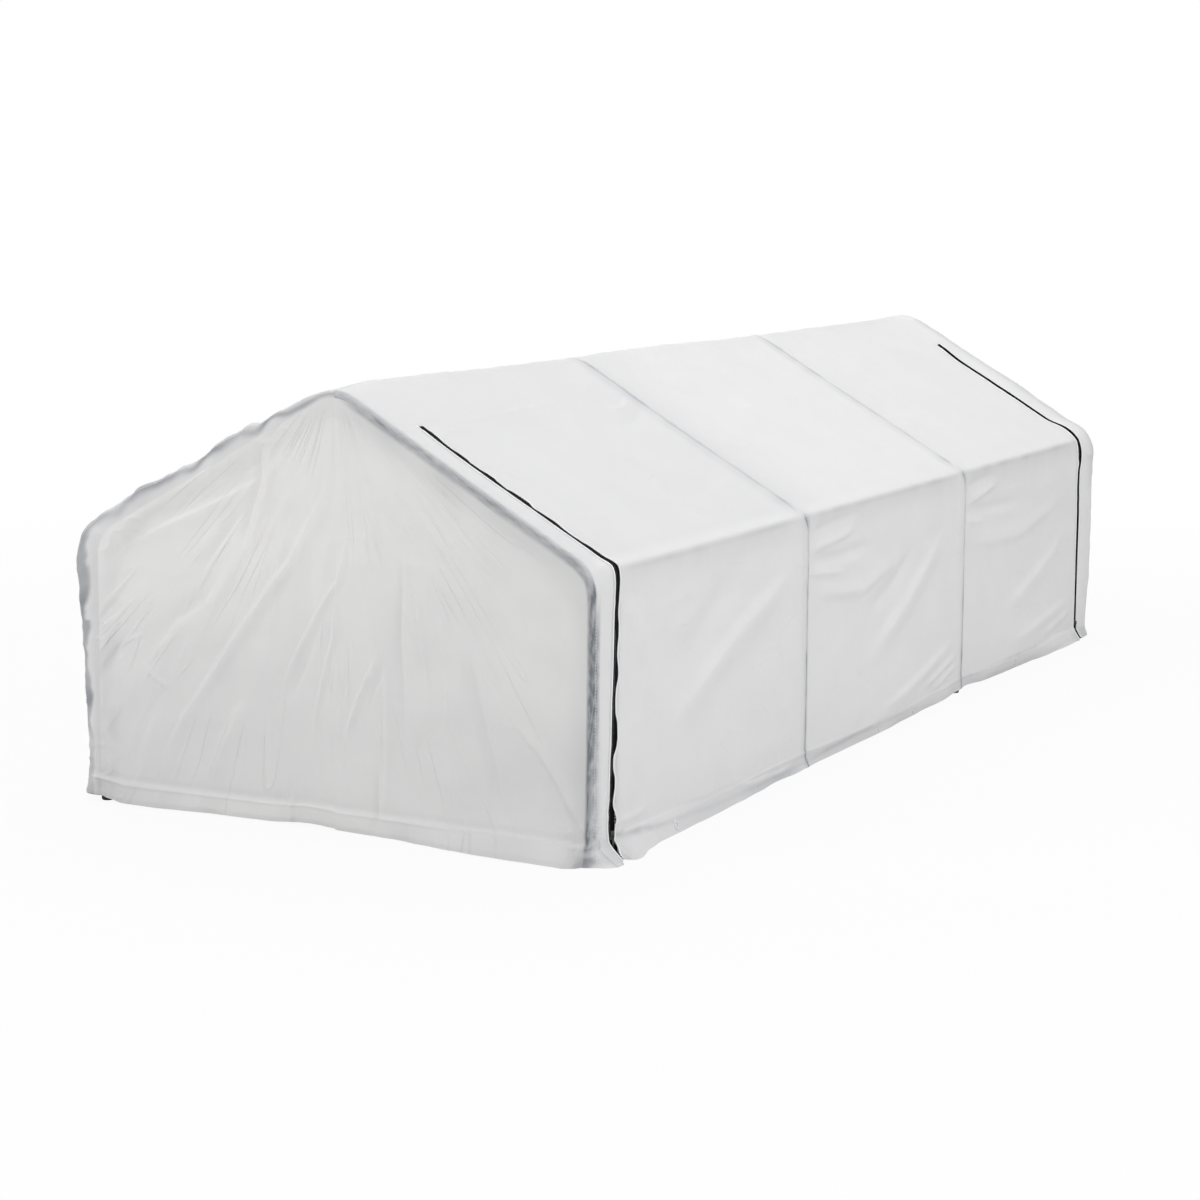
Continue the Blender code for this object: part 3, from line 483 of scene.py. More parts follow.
def cover_lift(s, c):
    """How far the cover stands out from a plain sheet drawn over the ribs."""
    far = np.abs(s - MIDDLE)
    out = np.abs(c)
    right = s < MIDDLE
    z = np.maximum(EAVE_Z - np.maximum(far - WALL_FAR, 0), 0.0)
    y = np.where(right, c, -c)
    rib = rib_distance(c)
    bays = np.searchsorted(RIB_Y, np.clip(c, -END_Y, END_Y - 1e-6), side="right") - 1
    start = -END_Y + np.clip(bays, 0, RIB_COUNT - 2) * RIB_PITCH
    share = np.clip((c - start) / RIB_PITCH, 0, 1)
    belly = np.sin(math.pi * share) ** 0.8
    inner = (out < END_Y).astype(float)

    # Flat between ridge, eave and ground, except where it lies on a rib
    on_wall = (far > WALL_FAR).astype(float)
    from_end = np.abs(out - END_Y)
    quick = (1 - near(rib, DROP_WIDTH)) * smooth(from_end, 0.06, 0.16)
    slow = 1 - near(rib, np.where(from_end < 0.3, 0.095, 0.042))
    slow = np.where(from_end < 0.3, slow, 0.42 * quick + 0.58 * slow)
    share_down = bay_plane(far)
    wall_shape = through(z, [(0.0, 1.0), (0.15, 0.0), (0.3, 5.5 / 8.2), (0.36, 0.8), (EAVE_Z, 1.0)])
    share_down = np.where(far > WALL_FAR, share_down * np.where(z < 0.15, 0.0, wall_shape), share_down)
    lift = share_down * slow * inner

    # Stretched over the end shoulders, and sunk beside the back zipper
    half = EAVE_TURN / 2
    off = half - np.minimum(np.hypot(far - PURLIN_FAR, 0.014) / BEND_RADIUS, half)
    out_by = CORNER_OUT * near(far - PURLIN_FAR, np.where(far > PURLIN_FAR, 0.055, 0.013))
    corner = (BEND_RADIUS + BASE) * (1 / np.cos(off) - 1) + out_by
    from_zip = from_end - (END_Y - ZIP_Y)
    held = np.where(from_zip > 0, near(from_zip, 0.06), near(from_zip, 0.038))
    held = np.where(right, held, near(from_end, 0.045)) * (c < 0)
    lift += corner * held
    sag = BACK_SAG * smooth(far, 0.12, 0.2) * (1 + 0.5 * smooth(far, 0.3, 0.45)) * fade(far, 0.425, 0.476)
    lift -= sag * near(c - ZIP_Y, 0.03) * right

    # Raised along the ridge, billowing over the walls' hem and tucked in under it
    lift += through(c, RIDGE_RISE) * fade(far, 0.015, 0.22)
    lift -= 0.0012 * belly * inner * smooth(far, 0.05, 0.2) * fade(far, EAVE_FAR - 0.2, EAVE_FAR)
    fold_z = HEM_BOTTOM + 0.02
    rise = np.where(z > fold_z, fade(z, fold_z, 0.2), smooth(z, 0.004, fold_z))
    lift += through(y, HEM_BILLOWS) * rise * belly * inner * on_wall
    lift -= through(y, HEM_TUCKS) * belly * inner * fade(z, 0.004, fold_z + 0.004) * on_wall
    fold_top = through(y, HEM_FOLDS)
    below = np.clip((fold_top - z) / (fold_top - HEM_BOTTOM), 0, 1)
    flare = through(y, HEM_FLARES) * below ** 1.25 * smooth(below, 0.0, 0.18) * on_wall

    # Folds, then crumples
    folds = folded(y, z + np.maximum(WALL_FAR - far, 0), WALL_FOLDS)
    folds *= 2.2 * smooth(far, WALL_FAR - 0.03, WALL_FAR + 0.004)
    folds += 1.2 * folded(y, far, ROOF_FOLDS) * fade(far, PURLIN_FAR - 0.03, PURLIN_FAR)
    lift += folds * smooth(rib, 0.004, 0.024) * inner

    flat = np.where(far > WALL_FAR, 1.0, 0.6) * smooth(rib, 0.006, 0.03) * inner
    lift += 0.0008 * flat * noise(c * 0.6, s, 0.045, 31)
    lift += 0.0007 * flat * crinkle(c, s * 1.4, 0.06, 32)
    crest = near(far, 0.03) * smooth(rib, 0.02, 0.08)
    lift += crest * (0.0012 * np.abs(noise(c, 0, 0.038, 33)) + 0.0006 * crinkle(c, s, 0.024, 34))

    # Double seams over the two inner ribs, pulled in along their stitches
    lift += 0.0008 * near(rib, SEAM_HALF * 1.1) * inner * (out < END_Y - 0.1)
    for seam in RIB_Y[1:-1]:
        for edge in (-SEAM_HALF, SEAM_HALF):
            pull = 0.0006 + 0.0004 * noise(s, 0, 0.012, 35)
            lift -= pull * near(c - seam - edge, 0.0016)
        beads = noise(s, seam, 0.03, 36) * near(rib, SEAM_HALF)
        lift += 0.0009 * beads * (np.abs(c - seam) < 0.05)

    # The ends are gathered a little. Down the front left and the back right the
    # cover hangs loose, well clear of the tube.
    for end in (-1, 1):
        loose = (s > MIDDLE) if end < 0 else (s < MIDDLE)
        beyond = np.abs(c - end * (END_Y + 0.004))
        edge = plateau(beyond, 0.006, 0.03)
        slack = through(far, LOOSE_EDGE if end < 0 else BACK_EDGE)
        slack -= corner * held * (end < 0)
        lumps = 0.0018 * crinkle(s, c, 0.022, 38) + 0.0012 * noise(s, c, 0.03, 43)
        lumps = np.where(end < 0, lumps, 0.4 * lumps)
        wide = plateau(beyond, 0.006, 0.075 if end < 0 else 0.03)
        on_rafter = smooth(far, 0.04, 0.12)
        lift += (slack * wide + lumps * edge * on_rafter) * loose * smooth(z, -0.01, 0.02)
        ends = edge * (0.0007 * np.abs(noise(s, 0, 0.045, 39)) + 0.0006 * crinkle(s, c, 0.016, 40))
        lift += ends * smooth(far, 0.03, 0.1)
        slant = noise(s * 0.9 + (out - END_Y) * 3.0, out * 0.6, 0.013, 44)
        slant = np.maximum(slant - 0.25, 0) * plateau(np.abs(c - end * (END_Y + 0.006)), 0.004, 0.012)
        puckers = near(far - WALL_FAR + 0.012, 0.035) + near(z - 0.05, 0.03) + 0.25
        lift += 0.0022 * slant * puckers * smooth(far, 0.1, 0.2)

    knot = near(c + END_Y, 0.024) * right * fade(z, 0.07, 0.095)
    lift += 0.0018 * (crinkle(s, c * 1.5, 0.011, 72) - 0.35) * knot

    # Thicker at the zippers, where the flap's edge bulges over the front one
    zip_far = np.abs(out - ZIP_Y)
    in_zip = right & (far > TOP_FAR - 0.03)
    zip_side = plateau(zip_far, ZIP_OPENING / 2, 0.024) * smooth(far, TOP_FAR - 0.03, TOP_FAR + 0.02)
    lift += ZIP_LIFT * plateau(zip_far, 0.016, 0.012) * in_zip
    inward = (out < ZIP_Y).astype(float)
    outward = smooth(zip_far, 0.004, 0.012)
    wave = np.where(c < 0, front_creep(far), 0.0015)
    lift += 0.25 * np.maximum(wave, 0) * zip_side * inward * outward * in_zip
    lift += 0.0006 * near(zip_far - 0.0095, 0.003) * in_zip * (far > TOP_FAR)

    # The doubled hem, the feet, and the zippers' own line down the wall
    hem_top = HEM_BOTTOM + WALL_HEM_HEIGHT
    lift += HEM_LIFT * fade(z, hem_top - 0.001, hem_top + 0.001) * on_wall
    lift += 0.0016 * near(rib, 0.024) * fade(z, 0.014, 0.03) * on_wall
    calm = plateau(zip_far, 0.004, 0.016) * right * smooth(far, WALL_FAR, WALL_FAR + 0.02)
    bow = np.where(c < 0, through(z, ZIP_BOW), through(z, BACK_BOW))
    return lift * (1 - calm) + (ZIP_LIFT + bow) * calm + flare


def hem_drop(s, c):
    """How far the wall's lower edge hangs below the part's plain hem."""
    z = EAVE_Z - (np.abs(s - MIDDLE) - WALL_FAR)
    band = fade(z, HEM_BOTTOM, HEM_BOTTOM + 2 * WALL_HEM_HEIGHT)
    front_left = near(c + END_Y, 0.05) * (s > MIDDLE)
    raised = near(c - 0.44, 0.085) * (s < MIDDLE)
    return np.maximum(0.013 - 0.0104 * front_left - 0.0085 * raised, 0) * band


def place(s, c, inward=0.0):
    """Points of the cover at s round the outline and c along it. Beyond the end
    ribs, c runs round their tubes on to the gable's edge."""
    hem = np.maximum(-s, 0) + np.maximum(s - GIRTH, 0)
    s = np.where(s < 0, -s, np.where(s > GIRTH, 2 * GIRTH - s, s))
    x, z, nx, nz = outline(s)
    y = np.clip(c, -END_Y, END_Y)
    turn = (np.abs(c) - np.abs(y)) / BASE
    end = np.sign(c)
    lift = cover_lift(s, c)
    drop = hem_drop(s, c)
    past = turn > 0
    if past.any():
        own_x = np.where(end < 0, x, -x)[past]
        mix = np.sin(np.clip(turn[past], 0, math.pi / 2)) ** 2
        lift[past] = lift[past] * (1 - mix) + gable_lift(own_x, z[past]) * mix
        drop[past] = drop[past] * (1 - mix) + gable_drop(own_x, z[past]) * mix
    reach = BASE + lift - inward - np.minimum(hem * 0.5, 0.0012)
    across = np.cos(turn) * reach
    return np.stack([
        x + nx * across,
        y + end * np.sin(turn) * reach,
        z + nz * across - drop,
    ], axis=-1)


def gable_place(u, s):
    """Points of a gable: u from -1 to 1 across, at the height that s has on the
    outline. It is seen from its own front."""
    edge, z = outline(s)[:2]
    x = u * edge
    return x, gable_lift(x, z), z - gable_drop(x, z)


def hem_shade(y, z):
    """The wall's hem lies double and turned under, in the shade of its own folds."""
    broad = through(y, HEM_DARK) * fade(z - through(y, HEM_DARK_TOP), -0.004, 0.004)
    line = through(y, HEM_LINE_DARK) * near(z - through(y, HEM_LINE), 0.0028) * (0.75 + 0.25 * noise(y, z, 0.018, 70))
    return broad + line


def shade_of(s, c):
    """How much painted shade darkens the cover at a point, from 0 to 1: the tubes' shadow through it, shade by the
    seams, under the eave and in the hem's folds, and the sheet's painted tone.
    """
    far = np.abs(s - MIDDLE)
    out = np.abs(c)
    right = s < MIDDLE
    # Painted shade by the inner ribs' seams and under the eave purlins
    rib = np.where(out < END_Y - 0.2, 1.0, 0.0)
    line = c - np.array(RIB_Y)[np.argmin([np.abs(c - y) for y in RIB_Y], axis=0)]
    z = EAVE_Z - (far - WALL_FAR)
    mottle = 0.75 + 0.25 * noise(s, c, 0.02, 51)
    low_side = 0.62 * near(line + SEAM_HALF + 0.002, 0.0034) + 0.22 * near(line + SEAM_HALF + 0.012, 0.014)
    thin = 0.3 * near(line - SEAM_HALF, 0.0022)
    roof = fade(far, EAVE_FAR - 0.02, PURLIN_FAR) * (low_side * (0.55 + 0.45 * noise(s, 0, 0.05, 52)) + thin)
    wall_dark = 0.8 * near(line - SEAM_HALF + 0.003, 0.0036) + 0.2 * near(line - 0.004, 0.008)
    wall = smooth(far, PURLIN_FAR - 0.004, PURLIN_FAR + 0.008) * wall_dark
    shade = rib * (roof + wall) * mottle
    below = far - PURLIN_FAR - 0.006
    eave = np.where(below < 0, near(below, 0.01), near(below, 0.028))
    eave = 0.07 * eave + 0.2 * near(below + 0.003, 0.004) * (0.6 + 0.4 * noise(c, s, 0.05, 71))
    shade += eave * (0.8 + 0.2 * noise(c, s, 0.035, 53)) * (out < ZIP_Y - 0.01)
    shade += 0.3 * near(line - 0.01, 0.014) * near(far - PURLIN_FAR - 0.01, 0.012) * rib

    # Round the end ribs: painted shadow of the leg and rafter that the cloth is drawn over, and painted shade at the
    # right foot
    turn = np.clip(out - END_Y, 0, WRAP) / BASE
    own_right = (s < MIDDLE) == (c < 0)
    leg = smooth(far, EAVE_FAR, WALL_FAR)
    round_by = turn * BASE
    streak = 0.8 + 0.2 * noise(s * 0.5, c, 0.006, 54)
    threads = (1 - np.abs(noise(round_by + 0.12 * s, 0.1 * s, 0.0042, 63))) ** 4
    threads += 0.6 * (1 - np.abs(noise(round_by - 0.45 * s, 0.3 * s, 0.006, 64))) ** 5
    feet = smooth(z, 0.028, 0.05)
    across = np.where(turn > 0, -turn, np.maximum(END_Y - out, 0) * 10)
    low = fade(z, 0.12, 0.3)
    leg_tube_shadow = through(across, LEG_BAND) * (1 - low) + through(across, FOOT_BAND) * low
    leg_tube_shadow = leg_tube_shadow * streak * (1.12 - 0.5 * np.clip(threads, 0, 1)) * (0.12 + 0.88 * feet)
    leg_tube_shadow *= 1 - smooth(z, 0.35, 0.42) * fade(turn, 0.2, 0.7)
    rafter_tube_shadow = through(across, RAFTER_BAND) * streak * (1.05 - 0.45 * np.clip(threads, 0, 1))
    shade += np.where(own_right, leg_tube_shadow * leg + rafter_tube_shadow * (1 - leg) * (turn > 0), 0)
    edge_x, edge_z = outline(np.clip(s, 0, GIRTH))[:2]
    edge_x = np.where(c < 0, edge_x, -edge_x)
    at_foot = near(z - 0.024, 0.014) * (0.12 + 0.38 * smooth(turn, 0.2, 1.1)) * (0.7 + 0.5 * noise(s, c, 0.009, 67))
    shade += at_foot * own_right * (out > ZIP_Y)

    # Painted shade along the leg and rafter that it hangs loose from, then in the hem's folds and beside the end ribs
    drift = noise(s, 0, 0.034, 65)
    reach = through(z, LOOSE_BAND) + 0.05 * noise(s, 0, 0.011, 70)
    on_leg = through(z, LOOSE_DARK) * fade(turn, reach - 0.14, reach + 0.12)
    on_leg *= 0.9 + 0.16 * noise(s + 2.2 * turn * BASE, turn * BASE, 0.014, 68)
    on_leg += 0.07 * smooth(turn, reach, reach + 0.2)
    on_rafter = 0.6 * near(turn - 0.72 - 0.38 * drift, 0.34) * (0.8 + 0.34 * noise(s, 0.7, 0.026, 69))
    loose_tube_shade = on_leg * leg + on_rafter * (1 - leg)
    shade += np.where((turn > 0) & ~own_right, loose_tube_shade, 0)
    shade += hem_shade(np.where(right, c, -c), z) * (far > WALL_FAR) * (out < END_Y)
    near_end = near(END_Y - out, 0.016) * (far > RIDGE_HALF) * ~own_right * (turn == 0)
    shade += 0.25 * near_end * fade(far, WALL_FAR, WALL_FAR + 0.1) * streak

    # The sheet's painted tone: its baseline shade, painted shade on the roof, darker over the front bay, and the
    # gable's painted tone where the cover turns on to it
    # Painted shade on the roof, darker over the front bay
    roof_painted_shade = 0.03 + 0.07 * fade(c, -0.45, -0.15)
    to_gable = smooth(turn, 0.6, 1.5)
    sheet = SHEET_SHADE * (1 - to_gable) + gable_plain(edge_x, edge_z) * to_gable
    return np.clip(sheet + shade + roof_painted_shade * fade(far, EAVE_FAR, PURLIN_FAR), 0, 1)


def gable_low(x, z):
    """Painted shade: the lower part of a gable is darker, and its double hem darker or lighter."""
    low = through(x, GABLE_LOW) * fade(z, np.where(x < 0, 0.26, 0.1), np.where(x < 0, 0.5, 0.32))
    return low + through(x, GABLE_HEM) * fade(z, GABLE_HEM_TOP - 0.003, GABLE_HEM_TOP)


def gable_plain(x, z):
    """The painted tone of a gable's sheet by itself: its baseline shade, a shaded band beside its right edge, painted
    light towards the upper left and the right, and painted shade low down.
    """
    inside = gable_inside(x, z, 0.012)
    # Painted shade in a band beside the right edge
    edge_band_shade = 0.07 + 0.09 * smooth(z, 0.42, 0.5)
    edge_band_shade = edge_band_shade * plateau(inside, 0.006, 0.032) * (1 + 0.5 * noise(x, z, 0.05, 55)) * smooth(x, -0.1, 0.1)
    # Painted light: less shade towards the upper left, and on the right above the bottom
    pale = smooth(z - 0.35 * x, 0.22, 0.5)
    sheet = SHEET_SHADE * (1 - pale) * (1 - 0.6 * smooth(x, 0.15, 0.38) * smooth(z, 0.12, 0.3))
    return sheet + edge_band_shade + gable_low(x, z)


def gable_shade(x, z):
    """The same, with the painted shadow of the right leg and rafter behind it, painted shade at the left leg's edge
    and a painted dark patch at the right foot.
    """
    inside = gable_inside(x, z, 0.012)
    across = 0.8 + 0.2 * noise(inside, (x - z) * 0.5, 0.006, 54)
    leg = smooth(0.47 - z, 0.0, 0.05)
    feet = smooth(z, 0.028, 0.05)
    strength = (0.52 + 0.14 * leg) * (0.12 + 0.88 * feet) * smooth(x, -0.01, 0.05)
    band = strength * fade(inside, 0.0, TUBE_R - 0.0055 * leg) * across
    # Painted shade along the loose left leg, and at the right foot
    corner = near(x + LEG_X - 0.012, 0.02)
    left_leg_shade = corner * np.maximum(noise(x, z, 0.03, 56) + 0.25 * noise(x, z, 0.012, 66), 0) * smooth(z, 0.05, 0.09)
    left_leg_shade = left_leg_shade * fade(z, 0.22, 0.34) + 0.6 * corner * near(z - 0.056, 0.01)
    foot = 0.34 * near(LEG_X - x, 0.014) * near(z - 0.024, 0.014) * (0.7 + 0.5 * noise(x, z, 0.009, 67))
    return np.clip(gable_plain(x, z) + band + 0.14 * left_leg_shade + foot, 0, 1)


def add(name, data):
    """A new object in the scene."""
    made = bpy.data.objects.new(name, data)
    bpy.context.scene.collection.objects.link(made)
    return made


def mesh_object(name, points, faces, surface):
    mesh = bpy.data.meshes.new(name)
    mesh.from_pydata(np.reshape(points, (-1, 3)).tolist(), [], faces)
    mesh.shade_smooth()
    mesh.materials.append(surface)
    return add(name, mesh)


def grid_object(name, points, normals, uv, shade, surface, keep=None):
    """A sheet through a grid of points, with its own normals, a map in metres
    for the weave and the painted shade on it: the frame's shadow, shade in folds and hems, and painted tone."""
    rows, columns = points.shape[:2]
    number = np.arange(rows * columns).reshape(rows, columns)
    faces = np.stack([number[:-1, :-1], number[:-1, 1:], number[1:, 1:], number[1:, :-1]], axis=-1)
    faces = faces[keep] if keep is not None else faces.reshape(-1, 4)
    used, faces = np.unique(faces, return_inverse=True)
    faces = faces.reshape(-1, 4)
    made = mesh_object(name, points.reshape(-1, 3)[used], faces.tolist(), surface)
    mesh = made.data
    layer = mesh.uv_layers.new(name="weave")
    layer.uv.foreach_set("vector", uv.reshape(-1, 2)[used][faces.reshape(-1)].astype(np.float32).ravel())
    attribute = mesh.attributes.new("shade", "FLOAT", "POINT")
    attribute.data.foreach_set("value", shade.reshape(-1)[used].astype(np.float32))
    mesh.normals_split_custom_set_from_vertices(normals.reshape(-1, 3)[used].tolist())
    return made


def unit(values):
    """Rows of values made one long."""
    return values / np.maximum(np.linalg.norm(values, axis=-1, keepdims=True), 1e-12)


def slopes(build, a, b, step=CREASE_STEP):
    """Normals of the surface that build(a, b) gives."""
    here = build(a, b)
    along = build(a + step, b) - here
    across = build(a, b + step) - here
    return unit(np.cross(across, along))


def spaced(marks):
    """Values through marks (start, step), (next start, step), ..., (end, 0)."""
    found = []
    for (start, step), (end, _) in zip(marks, marks[1:]):
        count = max(round((end - start) / step), 1)
        found += [start + (end - start) * i / count for i in range(count)]
    return np.array(found + [marks[-1][0]])


def both_ways(half):
    """half, from the right hem to the ridge, and the same down to the left hem."""
    return np.concatenate([half, GIRTH - half[-2::-1]])


HALF_S = spaced([
    (-WALL_HEM_HEIGHT, 0.004), (-0.002, 0.001), (0.002, 0.0025), (0.018, 0.0015), (0.035, 0.0025), (0.06, 0.005),
    (MIDDLE - WALL_FAR, 0.0032),
    (MIDDLE - EAVE_FAR, 0.0052), (TOP_S - FOLD_BEND, 0.0015), (TOP_S, 0.0015),
    (TOP_S + FOLD_BEND, 0.0052),
    (MIDDLE - RIDGE_HALF, 0.0032), (MIDDLE, 0),
])
SEAM_ROW = int(np.argmin(np.abs(HALF_S - (MIDDLE - PURLIN_FAR))))
SEAM_S = HALF_S[SEAM_ROW]
TOP_ROW = int(np.argmin(np.abs(HALF_S - (TOP_S + FOLD_BEND))))


def length_marks(low, high):
    """Marks for spaced along the cover, close together at the inner ribs."""
    marks = [(low, 0.0055)]
    for y in RIB_Y[1:-1]:
        marks += [(y - 0.03, 0.002), (y + 0.03, 0.0065)]
    return marks + [(high, 0)]


def cover_columns():
    """Places along the cover, with the ends round the end ribs' tubes."""
    low = [(-END_Y - WRAP, 0.0012), (-END_Y, 0.004), (-FIXED_END, 0.004), (-FLAP_END, 0.005)]
    high = [(FLAP_END, 0.004), (FIXED_END, 0.004), (END_Y, 0.0019), (END_Y + WRAP, 0)]
    inner = FLAP_END - 0.04
    return spaced(low + length_marks(-inner, inner)[:-1] + [(inner, 0.005)] + high)


def build_cover(surface):
    """The fixed sheet: left side, ridge, and on the right the two end strips."""
    rows = both_ways(HALF_S)
    columns = cover_columns()
    s, c = np.meshgrid(rows, columns, indexing="ij")
    middle_s = (rows[:-1] + rows[1:]) / 2
    middle_c = (columns[:-1] + columns[1:]) / 2
    flap = (middle_s < TOP_S + FOLD_BEND)[:, None] & (np.abs(middle_c) < FLAP_END)[None, :]
    slit = (middle_s < ZIP_TOP_S)[:, None] & (np.abs(middle_c) < FIXED_END)[None, :]
    keep = ~(flap | slit)
    points = place(s, c)
    normals = slopes(place, s, c)
    uv = np.stack([c, s], axis=-1)
    made = grid_object("cover_shell", points, normals, uv, shade_of(s, c), surface, keep)
    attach(made, "frame_and_cover")
    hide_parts("cover_left_wall_panel", "cover_left_roof_panel", "cover_ridge_panel",
                "cover_end_wrap_front", "cover_end_wrap_back")
    return made


def front_creep(far):
    """How far the flap's edge creeps over the front zipper."""
    z = EAVE_Z - (far - WALL_FAR)
    return np.where(far > PURLIN_FAR - 0.01, through(np.minimum(z, 0.44), WALL_CREEP), through(far, ROOF_CREEP))


def flap_edge(s, side):
    """How far the flap's edge wanders over its zipper tape."""
    far = MIDDLE - np.abs(s)
    if side < 0:
        return front_creep(far)
    return 0.0008 - 0.0016 * smooth(far, EAVE_FAR, WALL_FAR) + 0.0014 * noise(far, 0.9, 0.06, 42)


def build_flap(surface):
    """The flap between the zippers, in an upper and a lower piece that meet at the eave."""
    rows = HALF_S[:TOP_ROW + 1]
    inner = FLAP_END - 0.026
    marks = [(-FLAP_END, 0.0022), (-inner, 0.0055)] + length_marks(-inner, inner)[1:-1]
    columns = spaced(marks + [(inner, 0.003), (FLAP_END, 0)])

    def flap(s, c):
        hang = near(FLAP_END - np.abs(c), 0.012)
        moved = c + np.where(c < 0, -flap_edge(s, -1) * hang, flap_edge(s, 1) * hang)
        top = smooth(s, TOP_S - FOLD_BEND, TOP_S)
        return place(s, moved * (1 - top) + c * top)

    s, c = np.meshgrid(rows, columns, indexing="ij")
    points = flap(s, c)
    normals = slopes(flap, s, c)
    uv = np.stack([c, s], axis=-1)
    shade = shade_of(s, c)
    made = []
    for name, part in (("flap_roof_sheet", slice(SEAM_ROW, None)), ("flap_wall_sheet", slice(SEAM_ROW + 1))):
        made.append(grid_object(name, points[part], normals[part], uv[part], shade[part], surface))
    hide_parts("cover_roof_flap")
    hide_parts("cover_wall_flap")
    return made


def over_top(piece):
    """Bakes piece's placement into its mesh."""
    x, z = outline(np.array([TOP_S + FOLD_BEND, TOP_S - FOLD_BEND]))[:2]
    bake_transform(piece)


def over_eave(piece):
    """Bakes piece's placement into its mesh."""
    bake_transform(piece)


def build_gable(name, end, surface, node):
    """A gable sheet, sewn to the cover's edge all round."""
    rows = HALF_S[HALF_S >= 0]
    turn_up = spaced([(-0.007, 0.0025), (-0.002, 0.001), (0, 0)])[:-1]
    levels = np.concatenate([turn_up, rows])
    columns = spaced([(-1, 0.004), (-0.95, 0.0065), (0.95, 0.004), (1, 0)])
    s, u = np.meshgrid(levels, columns, indexing="ij")

    def build(s, u):
        hem = np.maximum(-s, 0)
        x, lift, z = gable_place(u, np.abs(s))
        lift -= np.minimum(hem * 0.5, 0.0012)
        side = -end
        return np.stack([side * x, -side * (GABLE_Y + lift), z], axis=-1)

    points = build(s, u)
    outer, z = outline(np.abs(s))[:2]
    x = u * outer
    step = CREASE_STEP
    rise_x = (gable_lift(x + step, z) - gable_lift(x - step, z)) / (2 * step)
    rise_z = (gable_lift(x, z + step) - gable_lift(x, z - step)) / (2 * step)
    normals = np.stack([end * rise_x, 0 * x + end, -rise_z], axis=-1)
    uv = np.stack([points[..., 0], points[..., 2]], axis=-1)
    shade = gable_shade(x, z)
    points[-1, :] = points[-1, columns.size // 2]
    made = grid_object(name, points, unit(normals), uv, shade, surface)
    work = bmesh.new()
    work.from_mesh(made.data)
    bmesh.ops.remove_doubles(work, verts=work.verts, dist=0.00001)
    work.to_mesh(made.data)
    work.free()
    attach(made, "frame_and_cover")
    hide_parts(node)
    return made


def round_faces(number):
    """Faces along a bar, given the numbers of its rings' points, and its two ends."""
    ahead = np.roll(number, -1, axis=1)
    faces = np.stack([number[:-1], ahead[:-1], ahead[1:], number[1:]], axis=-1).reshape(-1, 4).tolist()
    return faces + [number[0, ::-1].tolist(), number[-1].tolist()]


def bars(name, starts, ends, ups, width, height, surface):
    """Many short bars with tapered ends, such as stitches or teeth, in one mesh."""
    sideways = unit(np.cross(ups, unit(ends - starts)))
    ring = [(-0.5, 0), (-0.3, 0.8), (0.3, 0.8), (0.5, 0), (0.3, -0.5), (-0.3, -0.5)]
    points = []
    for part, size in ((0.0, 0.45), (0.22, 1.0), (0.78, 1.0), (1.0, 0.45)):
        middle = starts + (ends - starts) * part
        for a, b in ring:
            points.append(middle + sideways * a * width * size + ups * b * height * size)
    points = np.stack(points, axis=1)
    steps = np.arange(len(starts))[:, None] * points.shape[1]
    faces = []
    for face in round_faces(np.arange(points.shape[1]).reshape(-1, len(ring))):
        faces += (np.array(face) + steps).tolist()
    return mesh_object(name, points, faces, surface)


def stitch_run(s, c, pitch=STITCH_PITCH, inward=-0.0003):
    """Starts, ends and normals of stitches along a path of many (s, c) points."""
    path = place(s, c)
    steps = np.linalg.norm(np.diff(path, axis=0), axis=1)
    length = np.concatenate([[0], np.cumsum(steps)])
    count = int(length[-1] / pitch)
    marks = (np.arange(count) + 0.5) * length[-1] / count
    ends = []
    for shift in (-0.3, 0.3):
        where = np.clip(marks + shift * pitch, 0, length[-1])
        ends.append((np.interp(where, length, s), np.interp(where, length, c)))
    a = place(*ends[0], inward)
    b = place(*ends[1], inward)
    middle_s = (ends[0][0] + ends[1][0]) / 2
    middle_c = (ends[0][1] + ends[1][1]) / 2
    up = slopes(place, middle_s, middle_c)
    return a, b, up


def stitches(name, runs, surface):
    """One piece with the stitches of many paths."""
    parts = [stitch_run(np.asarray(s, float), np.asarray(c, float)) for s, c in runs]
    starts, ends, ups = (np.concatenate([part[i] for part in parts]) for i in range(3))
    return bars(name, starts, ends, ups, 0.0009, 0.0005, surface)


def edge_path(low, high, end):
    """A path along the flap's edge over the front or the back zipper."""
    s = np.linspace(low, high, int((high - low) / 0.004) + 2)
    creep = flap_edge(s, end) * fade(s, TOP_S - FOLD_BEND, TOP_S)
    return s, end * (FLAP_END + creep - 0.0004)


def piping(name, s, c, surface, radius=PIPING_R, sides=8):
    """A thin rolled edge along a path of many (s, c) points."""
    middle = place(s, c)
    up = slopes(place, s, c)
    across = np.cross(up, unit(np.gradient(middle, axis=0)))
    points = []
    for j in range(sides):
        turn = 2 * math.pi * j / sides
        points.append(middle + across * math.cos(turn) * radius + up * (math.sin(turn) * radius * 0.8 + radius * 0.3))
    number = np.arange(len(middle) * sides).reshape(-1, sides)
    turned = [face[:1] + face[:0:-1] for face in round_faces(number)]
    return mesh_object(name, np.stack(points, axis=1), turned, surface)


def down(c, low, high, count=500):
    """A path down the cover at c, from s = low to high."""
    return np.linspace(low, high, count), np.full(count, c)


def level(s, low, high, count=1500):
    """A path along the cover at s, from c = low to high."""
    return np.full(count, s), np.linspace(low, high, count)


def part_rows(low, high):
    """The cover's own levels between low and high, with both ends."""
    inner = HALF_S[(HALF_S > low + 0.0005) & (HALF_S < high - 0.0005)]
    return np.concatenate([[low], inner, [high]])


def sheet_part(name, rows, columns, surface, inward=0.0):
    """A strip that lies inward of the cover's face."""
    s, c = np.meshgrid(rows, columns, indexing="ij")
    points = place(s, c, inward)
    normals = slopes(lambda a, b: place(a, b, inward), s, c)
    return grid_object(name, points, normals, np.stack([c, s], axis=-1), shade_of(s, c), surface)


